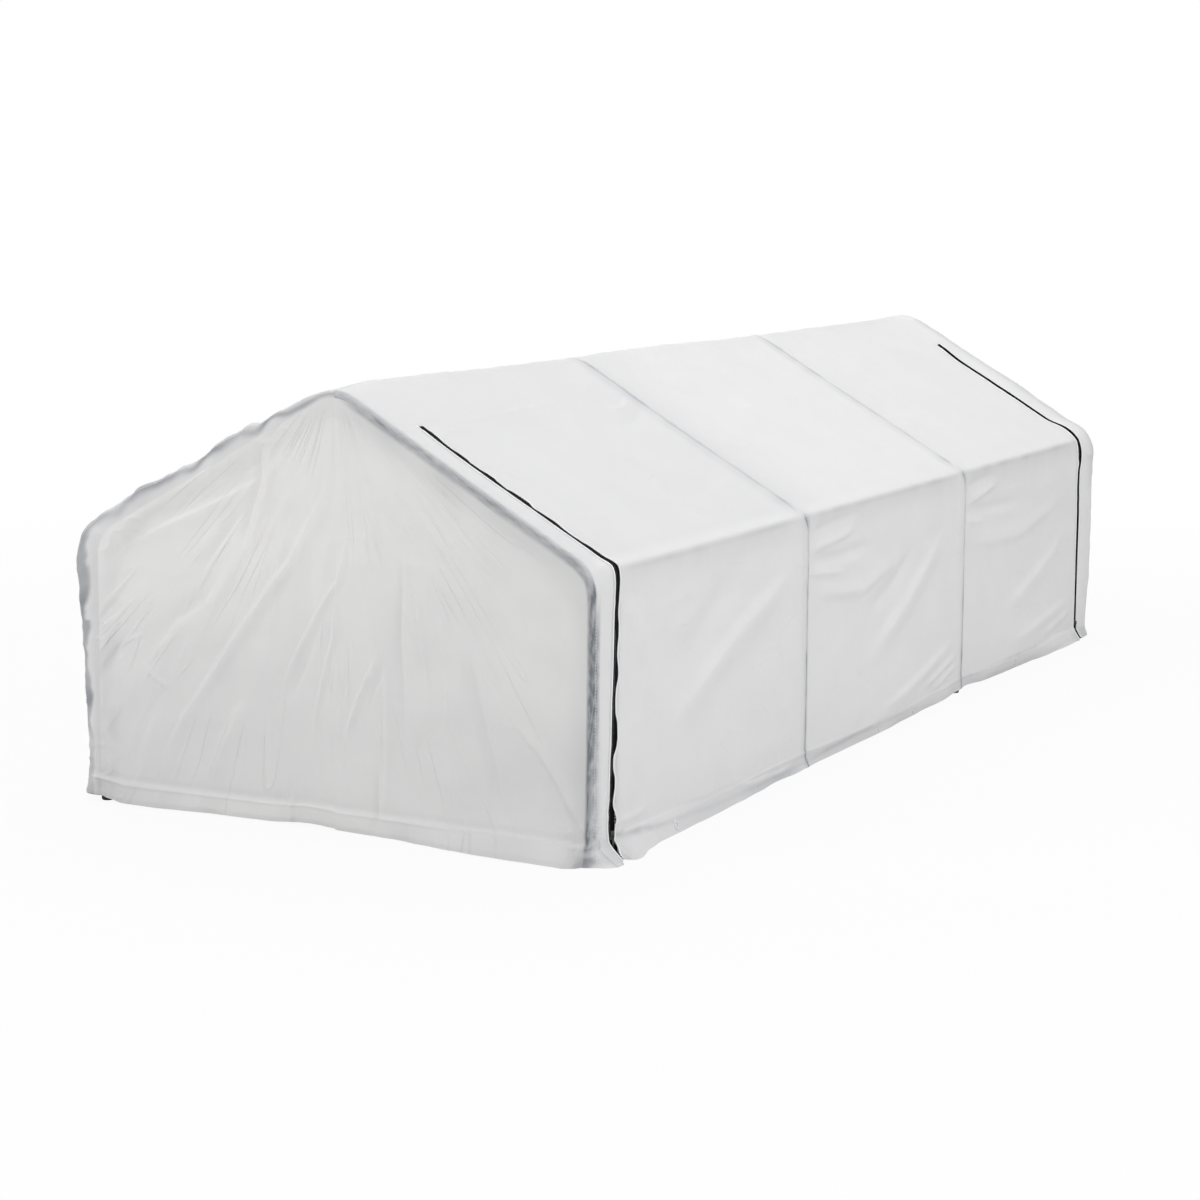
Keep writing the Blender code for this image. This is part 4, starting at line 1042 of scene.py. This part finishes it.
def build_zip(end, word, surfaces):
    """The tapes and the interlocking teeth of one zipper: the fixed side on the
    cover, and the loose side on the flap in an upper and a lower length."""
    spans = {"fixed": (0.0004, ZIP_TOP_S), "roof_flap": (SEAM_S, ZIP_TOP_S), "wall_flap": (0.0004, SEAM_S)}
    made = {}
    for part, (low, high) in spans.items():
        side = 1 if part == "fixed" else -1
        hidden = 0.004 if side > 0 else 0.01
        reach = [0.0003, 0.0012, 0.003, 0.0055, 0.008, ZIP_OPENING / 2, ZIP_OPENING / 2 + hidden]
        columns = np.sort(end * (ZIP_Y + side * np.array(reach)))
        rows = part_rows(low, high)
        tuck = ZIP_TUCK + 0.0035 * fade(rows, 0.01, 0.034)[:, None] * (side < 0)
        tape_piece = sheet_part(f"zip_band_{part}_{word}", rows, columns, surfaces["tape"], tuck)
        low = low if side > 0 or low > 0.1 else 0.026
        count = int((high - low) / TOOTH_PITCH)
        s = low + TOOTH_PITCH * (np.arange(count) + (0.25 if side > 0 else 0.75))
        s = s[s < high - 0.001]
        root = end * (ZIP_Y + side * 0.0036) + 0 * s
        tip = end * (ZIP_Y - side * 0.0007) + 0 * s
        up = slopes(place, s, 0 * s + end * ZIP_Y)
        starts = place(s, root, ZIP_TUCK) + up * TEETH_RISE
        ends = place(s, tip, ZIP_TUCK) + up * TEETH_RISE
        teeth = bars(f"zip_teeth_{part}_{word}", starts, ends, up, 0.0019, 0.0011, surfaces["coil"])
        runs = []
        for shift in (0.0044, 0.0052):
            path = down(end * (ZIP_Y + side * shift), low + 0.002, high - 0.002, int((high - low) / 0.002))
            runs.append(stitch_run(*path, 0.0034, ZIP_TUCK - 0.0003))
        cord_parts = [np.concatenate([run[i] for run in runs]) for i in range(3)]
        threads = bars(f"zip_thread_{part}_{word}", *cord_parts, 0.0006, 0.0005, surfaces["tape_thread"])
        made[part] = [tape_piece, teeth, threads]
        for piece in made[part]:
            if part == "fixed":
                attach(piece, "frame_and_cover")
            elif part == "roof_flap":
                over_top(piece)
            else:
                over_eave(piece)
        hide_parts(f"zip_tape_{part}_{word}")
    return made


def slab(name, outline_points, low, high, round_by, surface, holes=()):
    """A flat part: an outline in y and z, thick from low to high in x, with
    rounded rims. Holes are outlines too."""
    work = bmesh.new()
    edges = []
    for loop in (outline_points, *holes):
        ring = [work.verts.new((low, y, z)) for y, z in loop]
        edges += [work.edges.new((a, b)) for a, b in zip(ring, ring[1:] + ring[:1])]
    bmesh.ops.triangle_fill(work, use_beauty=True, edges=edges)
    faces = work.faces[:]
    bmesh.ops.recalc_face_normals(work, faces=faces)
    raised = bmesh.ops.extrude_face_region(work, geom=faces)
    corners = [part for part in raised["geom"] if isinstance(part, bmesh.types.BMVert)]
    bmesh.ops.translate(work, verts=corners, vec=(high - low, 0, 0))
    bmesh.ops.recalc_face_normals(work, faces=work.faces[:])
    rims = [edge for edge in work.edges if len(edge.link_faces) == 2 and edge.calc_face_angle(0) > 1.0
            and abs(edge.verts[0].co.x - edge.verts[1].co.x) < 1e-7]
    bmesh.ops.bevel(work, geom=rims, offset=round_by, segments=3, profile=0.5, affect="EDGES")
    mesh = bpy.data.meshes.new(name)
    work.to_mesh(mesh)
    work.free()
    mesh.materials.append(surface)
    mesh.shade_smooth()
    made = add(name, mesh)
    made.modifiers.new("crisp", "WEIGHTED_NORMAL")
    return made


def oval(y, z, half_y, half_z, power=2.0, count=28):
    """Points of a rounded outline: power 2 is an ellipse, higher is squarer."""
    found = []
    for i in range(count):
        turn = 2 * math.pi * i / count
        a, b = math.cos(turn), math.sin(turn)
        found.append((y + half_y * math.copysign(abs(a) ** (2 / power), a),
                      z + half_z * math.copysign(abs(b) ** (2 / power), b)))
    return found


def swept(name, path, radius, surface, sides=16, flat=1.0):
    """A round bar along path. Flat below 1 makes it thinner across its width."""
    path = [Vector(point) for point in path]
    points = []
    across = (path[1] - path[0]).normalized().orthogonal()
    for before, point, after in zip([path[0]] + path, path, path[1:] + [path[-1]]):
        along = (after - before).normalized()
        across = (across - along * across.dot(along)).normalized()
        third = along.cross(across)
        for j in range(sides):
            turn = 2 * math.pi * j / sides
            points.append(point + across * math.cos(turn) * radius + third * math.sin(turn) * radius * flat)
    number = np.arange(len(points)).reshape(len(path), sides)
    made = mesh_object(name, points, round_faces(number), surface)
    made.modifiers.new("crisp", "WEIGHTED_NORMAL")
    return made


def build_slider(end, word, surface):
    """The slider's plates and arch, and the pull that hangs in the arch."""
    low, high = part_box(f"zip_slider_{word}")
    pull_low, pull_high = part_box(f"zip_pull_{word}")
    pull_y = (pull_low[1] + pull_high[1]) / 2
    middle_z = (low[2] + high[2]) / 2
    half = (high[2] - low[2]) / 2
    shell_y = end * (ZIP_Y + 0.0013)
    outer_low = LEG_X + CLOTH_R + 0.0021
    shield = []
    for y, z in oval(0, 0, 0.0056, half, 3.2, 36):
        waist = 1 - 0.26 * smooth(np.array(-z / half), -0.2, 1.0)
        notch = 0.0016 * math.exp(-(y / 0.0015) ** 2) * (z > half * 0.5)
        shield.append((shell_y + y * float(waist), middle_z + z - notch))
    outer = slab(f"zip_slider_{word}_outer", shield, outer_low, outer_low + 0.0012, 0.0004, surface)
    inner_x = LEG_X + CLOTH_R - 0.0012
    plate = oval(shell_y, middle_z, 0.005, half * 0.92, 3.0)
    inner = slab(f"zip_slider_{word}_inner", plate, inner_x, inner_x + 0.0008, 0.0003, surface)
    post = oval(shell_y, middle_z + half * 0.45, 0.0009, half * 0.4, 2.0, 16)
    web = slab(f"zip_slider_{word}_web", post, inner_x + 0.0004, outer_low + 0.0004, 0.0001, surface)
    top = outer_low + 0.0008
    rise = high[0] - top - 0.0005
    bow = []
    for i in range(15):
        turn = math.pi * i / 14
        bow.append((top + rise * math.sin(turn) ** 0.6, pull_y, middle_z - 0.0039 * math.cos(turn)))
    arch = swept(f"zip_slider_{word}_arch", bow, 0.0006, surface, 12, 1.4)
    small = [inner, web, arch]
    for side, letter in ((-1, "a"), (1, "b")):
        lip = []
        for i in range(9):
            y = shell_y + side * 0.0049 + side * 0.0003 * math.sin(math.pi * i / 8)
            lip.append((outer_low + 0.0002, y, middle_z - half * 0.2 + half * i / 8))
        small.append(swept(f"zip_slider_{word}_lip_{letter}", lip, 0.0005, surface, 10))
    for piece in small:
        piece.parent = outer
    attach(outer, f"slider_{word}")
    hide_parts(f"zip_slider_{word}")

    x = (pull_low[0] + pull_high[0]) / 2
    thin = (pull_high[0] - pull_low[0]) / 2
    length = pull_high[2] - pull_low[2]
    body = []
    for y, z in oval(0, 0, 0.0027, length / 2, 4.5, 44):
        share = (z + length / 2) / length
        wide = 0.92 + 0.16 * math.cos(share * 2 * math.pi) + 0.06 * share
        body.append((pull_y + y * wide, pull_low[2] + z + length / 2))
    eye = oval(pull_y, pull_high[2] - 0.0041, 0.0012, 0.003, 2.6, 20)
    window = oval(pull_y, pull_low[2] + length * 0.3, 0.0011, 0.0042, 3.0, 24)
    pull = slab(f"zip_pull_{word}_plate", body, x - thin, x + thin, 0.0003, surface, [eye, window])
    for i in range(4):
        z = pull_low[2] + length * (0.52 + 0.04 * i)
        rib = [(x + thin * 0.9, pull_y - 0.0018, z), (x + thin, pull_y, z), (x + thin * 0.9, pull_y + 0.0018, z)]
        swept(f"zip_pull_{word}_rib_{i}", rib, 0.00028, surface, 8).parent = pull
    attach(pull, f"pull_{word}")
    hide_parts(f"zip_pull_{word}")


def build_eyelet(name, y, z, side, surface):
    """A ring pressed into the hem, which follows the sheet."""
    s = z - HEM_BOTTOM
    s = s if side > 0 else GIRTH - s
    ring = np.array([(0.0033, -0.0012), (0.0033, 0.0006), (0.0038, 0.0012), (0.0048, 0.0014), (0.0058, 0.0009),
                     (0.0063, 0.0004), (0.0062, -0.0004)])
    count = 28
    turn = np.linspace(0, 2 * math.pi, count, endpoint=False)[:, None]
    round_s, round_c = s + ring[:, 0] * np.sin(turn), y + ring[:, 0] * np.cos(turn)
    points = place(round_s, round_c, -0.0002 - ring[:, 1] * np.ones_like(turn))
    number = np.arange(count * len(ring)).reshape(count, -1)
    return mesh_object(name, points, round_faces(number[np.arange(count + 1) % count])[:-2], surface)


class Shader:
    """A node tree, with short ways to add to it."""

    def __init__(self, tree):
        self.tree = tree
        tree.nodes.clear()

    def __call__(self, kind, links=(), output=0, **settings):
        """Adds a node with its settings, sets or links its sockets, and gives an output."""
        made = self.tree.nodes.new("ShaderNode" + kind)
        for key, value in settings.items():
            setattr(made, key, value)
        for key, value in dict(links).items():
            if isinstance(value, bpy.types.NodeSocket):
                self.tree.links.new(value, made.inputs[key])
            else:
                made.inputs[key].default_value = value
        return made.outputs[output] if made.outputs else None

    def calc(self, operation, *values):
        return self("Math", enumerate(values), operation=operation)

    def grain(self, spot, scale, detail, **more):
        return self("TexNoise", {"Vector": spot, "Scale": scale, "Detail": detail, **more}, "Fac")

    def bands(self, spot, scale, wobble, direction):
        sockets = {"Vector": spot, "Scale": scale, "Distortion": wobble}
        return self("TexWave", sockets, "Fac", wave_type="BANDS", bands_direction=direction)

    def ranged(self, value, low, high):
        return self("MapRange", {"Value": value, "To Min": low, "To Max": high})

    def relief(self, height, strength, distance, **more):
        return self("Bump", {"Height": height, "Strength": strength, "Distance": distance, **more})

    def ramp(self, value, stops):
        colours = self("ValToRGB", {"Fac": value})
        for element, (spot, colour) in zip(colours.node.color_ramp.elements, stops):
            element.position = spot
            element.color = (*colour, 1)
        return colours

    def mixed(self, share, first, second, kind="Material"):
        """Ends the tree with a mix of two shaders."""
        self("Output" + kind, {"Surface": self("MixShader", {0: share, 1: first, 2: second})})


def new_surface(name):
    surface = bpy.data.materials.new(name)
    surface.use_nodes = True
    return surface, Shader(surface.node_tree)


def crease_lines(tree, spot, scale, bent, thin, patches):
    """Thin sharp ridges at spot, 0 to 1, in patches."""
    away = tree.calc("ABSOLUTE", tree.calc("SUBTRACT", tree.grain(spot, scale, 1.0, Distortion=bent), 0.5))
    ends = {"Value": away, "From Min": thin, "From Max": 0.0}
    ridge = tree("MapRange", ends, interpolation_type="SMOOTHSTEP")
    there = tree("MapRange", {"Value": tree.grain(patches, 6.0, 1.0), "From Min": 0.46, "From Max": 0.62})
    return tree.calc("MULTIPLY", ridge, there)


def about_peak(tree, flat):
    """Turn about a gable's peak and a little of the distance from it."""
    x = tree("SeparateXYZ", {0: flat})
    down = tree.calc("SUBTRACT", RIDGE_HEIGHT + PEAK_RISE, x.node.outputs["Y"])
    turn = tree.calc("ARCTAN2", x, down)
    away = tree("VectorMath", {0: tree("CombineXYZ", {0: x, 1: down})}, "Value", operation="LENGTH")
    return tree("CombineXYZ", {0: turn, 1: tree.calc("MULTIPLY", away, 0.16)})


def cloth_surface(name, light, fanned=False):
    """White woven sheeting: flat tapes crossing, faint clouding, fine creases, a soft sheen, and a
    painted blue-grey shade from the shade attribute: the tubes' shadow where they touch it, and shade by seams, folds
    and hems."""
    surface, tree = new_surface(name)
    flat = tree("UVMap", uv_map="weave")
    if fanned:
        creased = tree.relief(crease_lines(tree, about_peak(tree, flat), 13.0, 0.5, 0.03, flat), 0.55, 0.0015)
    else:
        creased = tree.relief(crease_lines(tree, flat, 5.0, 1.6, 0.012, flat), 0.55, 0.0007)
    cross = tree.calc("MULTIPLY", *(tree.bands(flat, WEAVE_SCALE, 0.0, way) for way in "XY"))
    worn = tree.grain(flat, 9.0, 6.0, Roughness=0.62)
    slubs = tree.grain(flat, 420.0, 2.0)
    tone = tree.calc("MULTIPLY", tree.ranged(worn, 0.965, 1.035), tree.ranged(cross, 0.985, 1.012))
    shade = tree("Attribute", (), "Fac", attribute_name="shade", attribute_type="GEOMETRY")
    tint = tree.ramp(shade, [(0.0, light), (1.0, SHADE_TINT)])
    colour = tree("VectorMath", {0: tint, "Scale": tone}, operation="SCALE")
    bump = tree.relief(tree.calc("ADD", cross, slubs), 0.2, 0.00018, Normal=creased)
    solid = tree("BsdfPrincipled", {"Base Color": colour, "Roughness": tree.ranged(slubs, 0.4, 0.6), "Normal": bump,
                                    "IOR": 1.49, "Sheen Weight": 0.08, "Sheen Roughness": 0.4})
    tree.mixed(CLOTH_GLOW, solid, tree("BsdfTranslucent", {"Color": colour, "Normal": bump}))
    return surface


def plain_surface(name, low, high, metal, rough, scale, bump_by, ribs=0.0, gloss=0.5):
    """A procedural finish: its colour and roughness drift, and its face has relief."""
    surface, tree = new_surface(name)
    spot = tree("TexCoord", (), "Object")
    fine = height = tree.grain(spot, scale * 9, 3.0)
    if ribs:
        height = tree.calc("ADD", fine, tree.bands(tree("UVMap", uv_map="weave"), ribs, 0.3, "DIAGONAL"))
    colour = tree.ramp(tree.grain(spot, scale, 5.0, Roughness=0.6), [(0.3, low), (0.7, high)])
    solid = {"Base Color": colour, "Metallic": metal, "Roughness": tree.ranged(fine, *rough),
             "Normal": tree.relief(height, 0.35, bump_by), "Specular IOR Level": gloss}
    tree("OutputMaterial", {"Surface": tree("BsdfPrincipled", solid)})
    return surface


def galvanised(name):
    """Zinc-dipped steel: pale crystal flakes, dull streaks along the tube."""
    surface, tree = new_surface(name)
    spot = tree("TexCoord", (), "Object")
    cells = tree("TexVoronoi", {"Vector": spot, "Scale": 170.0, "Randomness": 1.0}, "Color", feature="F1")
    dull = tree.grain(spot, 28.0, 6.0, Roughness=0.65)
    both = tree.calc("MULTIPLY", tree("SeparateColor", {0: cells}), dull)
    solid = {"Base Color": tree.ramp(both, [(0.05, (0.46, 0.48, 0.5)), (0.55, (0.66, 0.68, 0.7))]), "Metallic": 1.0,
             "Roughness": tree.ranged(both, 0.52, 0.3), "Normal": tree.relief(dull, 0.25, 0.0002)}
    tree("OutputMaterial", {"Surface": tree("BsdfPrincipled", solid)})
    return surface


def studio_white(name, colour, keep):
    """Floor white as the camera sees it, with the object's shadow kept."""
    surface, tree = new_surface(name)
    spot = tree("TexCoord", (), "Object")
    pale = tuple(min(part * 1.01, 1) for part in colour)
    matt = tree("BsdfDiffuse", {"Color": tree.ramp(tree.grain(spot, 3.0, 3.0), [(0.0, colour), (1.0, pale)])})
    white = tree("Emission", {"Color": (1, 1, 1, 1), "Strength": 1.0})
    away = tree("VectorMath", {0: spot}, "Value", operation="LENGTH")
    ends = {"Value": away, "From Min": 1.6, "From Max": 3.4, "To Min": keep, "To Max": 1.0}
    share = tree.calc("MULTIPLY", tree("LightPath", (), "Is Camera Ray"), tree("MapRange", ends))
    tree.mixed(share, matt, white)
    return surface


def lamp(name, place_at, target, size, power, colour):
    """A soft rectangular lamp turned to its target."""
    data = bpy.data.lights.new(name, "AREA")
    data.shape = "RECTANGLE"
    data.size, data.size_y = size
    data.energy = power
    data.color = colour
    made = add(name, data)
    made.location = place_at
    made.rotation_euler = (Vector(target) - Vector(place_at)).to_track_quat("-Z", "Y").to_euler()


# Materials: colours, metal, roughness, the grain's scale and relief
surfaces = {
    "cover": cloth_surface("woven_sheet", (0.86, 0.858, 0.86)),
    "gable": cloth_surface("woven_sheet_end", (0.848, 0.845, 0.841), True),
    "tube": galvanised("galvanised_tube"),
}
for key, *settings in (
    ("cap", "cap_plastic", (0.012, 0.012, 0.013), (0.024, 0.024, 0.025), 0.0, (0.38, 0.55), 120.0, 0.0002),
    ("tape", "zip_tape_cloth", (0.002, 0.002, 0.0025), (0.005, 0.005, 0.0055), 0.0, (0.8, 0.95), 60.0, 0.0002, 280.0,
     0.05),
    ("coil", "zip_coil", (0.0025, 0.0025, 0.003), (0.006, 0.006, 0.0065), 0.0, (0.46, 0.62), 200.0, 0.0001, 0.0, 0.07),
    ("tape_thread", "tape_thread", (0.003, 0.003, 0.0035), (0.008, 0.008, 0.0085), 0.0, (0.7, 0.9), 300.0, 0.0001, 0.0,
     0.06),
    ("zinc", "dark_zinc", (0.05, 0.05, 0.054), (0.11, 0.11, 0.115), 0.85, (0.26, 0.44), 150.0, 0.0001),
    ("piping", "edge_piping", (0.88, 0.88, 0.88), (0.93, 0.93, 0.93), 0.0, (0.45, 0.6), 200.0, 0.0001),
    ("thread", "sewing_thread", (0.7, 0.71, 0.72), (0.84, 0.845, 0.85), 0.0, (0.55, 0.75), 400.0, 0.0001),
    ("eyelet", "eyelet_plastic", (0.66, 0.66, 0.67), (0.74, 0.74, 0.75), 0.0, (0.25, 0.42), 200.0, 0.0001),
):
    surfaces[key] = plain_surface(*settings)

for name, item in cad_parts.items():
    kind = "cap" if name.startswith("foot_cap") else "tube"
    for slot in item.material_slots:
        slot.material = surfaces[kind]

# Cover
shell = build_cover(surfaces["cover"])
front_gable = build_gable("gable_sheet_front", -1, surfaces["gable"], "cover_front_gable")
back_gable = build_gable("gable_sheet_back", 1, surfaces["gable"], "cover_back_gable")
flap_roof, flap_wall = build_flap(surfaces["cover"])
over_top(flap_roof)
over_eave(flap_wall)

# Zippers
zips = {}
for end, word in ((-1, "front"), (1, "back")):
    zips[word] = build_zip(end, word, surfaces)
    build_slider(end, word, surfaces["zinc"])

for end, word in ((-1, "front"), (1, "back")):
    path = down(end * (FIXED_END + 0.0004), PIPING_FOOT, ZIP_TOP_S, 220)
    strip = piping(f"zip_edge_fixed_{word}", *path, surfaces["piping"])
    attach(strip, "frame_and_cover")
    roof = piping(f"zip_edge_roof_{word}", *edge_path(SEAM_S, ZIP_TOP_S, end), surfaces["piping"])
    over_top(roof)
    wall = piping(f"zip_edge_wall_{word}", *edge_path(PIPING_FOOT, SEAM_S, end), surfaces["piping"])
    over_eave(wall)
    zips[word]["fixed"].append(strip)
    zips[word]["roof_flap"].append(roof)
    zips[word]["wall_flap"].append(wall)

fixed_extras, roof_extras, wall_extras = (
    zips["front"][part] + zips["back"][part] for part in ("fixed", "roof_flap", "wall_flap"))

# Eyelets in the hems
for number, (y, z) in enumerate([(-0.957, 0.024), (-0.057, 0.022), (0.131, 0.024), (0.723, 0.026)], 1):
    right = build_eyelet(f"hem_eyelet_right_{number}", y, z, 1, surfaces["eyelet"])
    left = build_eyelet(f"hem_eyelet_left_{number}", -y, z, -1, surfaces["eyelet"])
    over_eave(right)
    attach(left, "frame_and_cover")
    wall_extras.append(right)
    fixed_extras.append(left)

# Stitching
runs = {"fixed": [], "roof": [], "wall": []}
for y in RIB_Y[1:-1]:
    for c in (y - SEAM_HALF, y + SEAM_HALF):
        runs["wall"].append(down(c, SEAM_MARGIN, SEAM_S))
        runs["roof"].append(down(c, SEAM_S, TOP_S))
        runs["fixed"].append(down(c, TOP_S + 2 * SEAM_MARGIN, GIRTH - SEAM_MARGIN))
hem_top = WALL_HEM_HEIGHT - 0.003
inner = FLAP_END - 0.006
runs["wall"].append(level(hem_top, -inner, inner))
runs["fixed"].append(level(GIRTH - hem_top, -END_Y, END_Y))
for end in (-1, 1):
    runs["fixed"].append(down(end * (ZIP_Y + ZIP_OPENING / 2 + 0.003), SEAM_MARGIN, TOP_S + SEAM_MARGIN, 700))
    runs["wall"].append(down(end * (FLAP_END - 0.0035), SEAM_MARGIN, SEAM_S, 700))
    runs["roof"].append(down(end * (FLAP_END - 0.0035), SEAM_S, TOP_S - SEAM_MARGIN, 700))
    runs["fixed"].append(down(end * (END_Y + WRAP * 0.3), SEAM_MARGIN, GIRTH - SEAM_MARGIN, 700))
    runs["fixed"].append(level(ZIP_TOP_S + 0.004, end * inner, end * (ZIP_Y + 0.012), 60))
seams = {part: stitches(f"stitching_{part}", found, surfaces["thread"]) for part, found in runs.items()}
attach(seams["fixed"], "frame_and_cover")
over_top(seams["roof"])
over_eave(seams["wall"])
fixed_extras.append(seams["fixed"])
roof_extras.append(seams["roof"])
wall_extras.append(seams["wall"])

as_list(fixed_extras)
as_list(roof_extras)
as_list(wall_extras)

# Floor and light
floor_mesh = bpy.data.meshes.new("studio_floor")
floor_mesh.from_pydata([(-30, -30, 0), (30, -30, 0), (30, 60, 0), (-30, 60, 0)], [], [(0, 1, 2, 3)])
floor_mesh.materials.append(studio_white("studio_white", (0.62, 0.62, 0.62), 0.92))
floor = add("studio_floor", floor_mesh)

world = bpy.data.worlds.new("studio")
world.use_nodes = True
bpy.context.scene.world = world
sky = Shader(world.node_tree)
camera_ray = sky("LightPath", (), "Is Camera Ray")
rays = camera_ray.node.outputs
seen = sky.calc("MAXIMUM", sky.calc("MAXIMUM", camera_ray, rays["Is Glossy Ray"]), rays["Is Transmission Ray"])
soft = sky("Background", {"Color": (0.985, 0.99, 1.0, 1), "Strength": 0.7})
sky.mixed(seen, soft, sky("Background", {"Color": (1, 1, 1, 1), "Strength": 1.0}), "World")

lamp("overhead", (-0.6, 0.8, 4.2), (0, 0, 0.3), (3.5, 4.5), 90, (1.0, 0.995, 0.985))
lamp("front_left", (-2.6, -4.6, 2.2), (0, -0.8, 0.3), (2.5, 2.0), 84, (1.0, 0.985, 0.965))
lamp("right_side", (4.5, -1.0, 2.6), (0.3, 0, 0.3), (3.0, 2.0), 86, (1.0, 0.99, 0.985))

# The photo's camera: its turns, focal length in the photo's pixels, and place
YAW, PITCH, ROLL = (math.radians(angle) for angle in (-26.77, 8.97, 0.67))
FOCAL_PIXELS = 2862.24
PHOTO_PIXELS = 1200
SENSOR = 36
CAMERA_AT = (2.3607, -4.976, 1.0739)
forward = Vector((math.sin(YAW) * math.cos(PITCH), math.cos(YAW) * math.cos(PITCH), -math.sin(PITCH)))
level = Vector((math.cos(YAW), -math.sin(YAW), 0))
upward = level.cross(forward)
right_axis = level * math.cos(ROLL) + upward * math.sin(ROLL)
up_axis = upward * math.cos(ROLL) - level * math.sin(ROLL)
camera_data = bpy.data.cameras.new("camera")
camera_data.sensor_width = SENSOR
camera_data.lens = FOCAL_PIXELS / PHOTO_PIXELS * SENSOR
camera_data.clip_end = 200
camera = add("camera", camera_data)
turned = Matrix((right_axis, up_axis, -forward)).transposed().to_4x4()
camera.matrix_world = Matrix.Translation(CAMERA_AT) @ turned
bpy.context.scene.camera = camera
bpy.context.scene.view_settings.view_transform = "Standard"
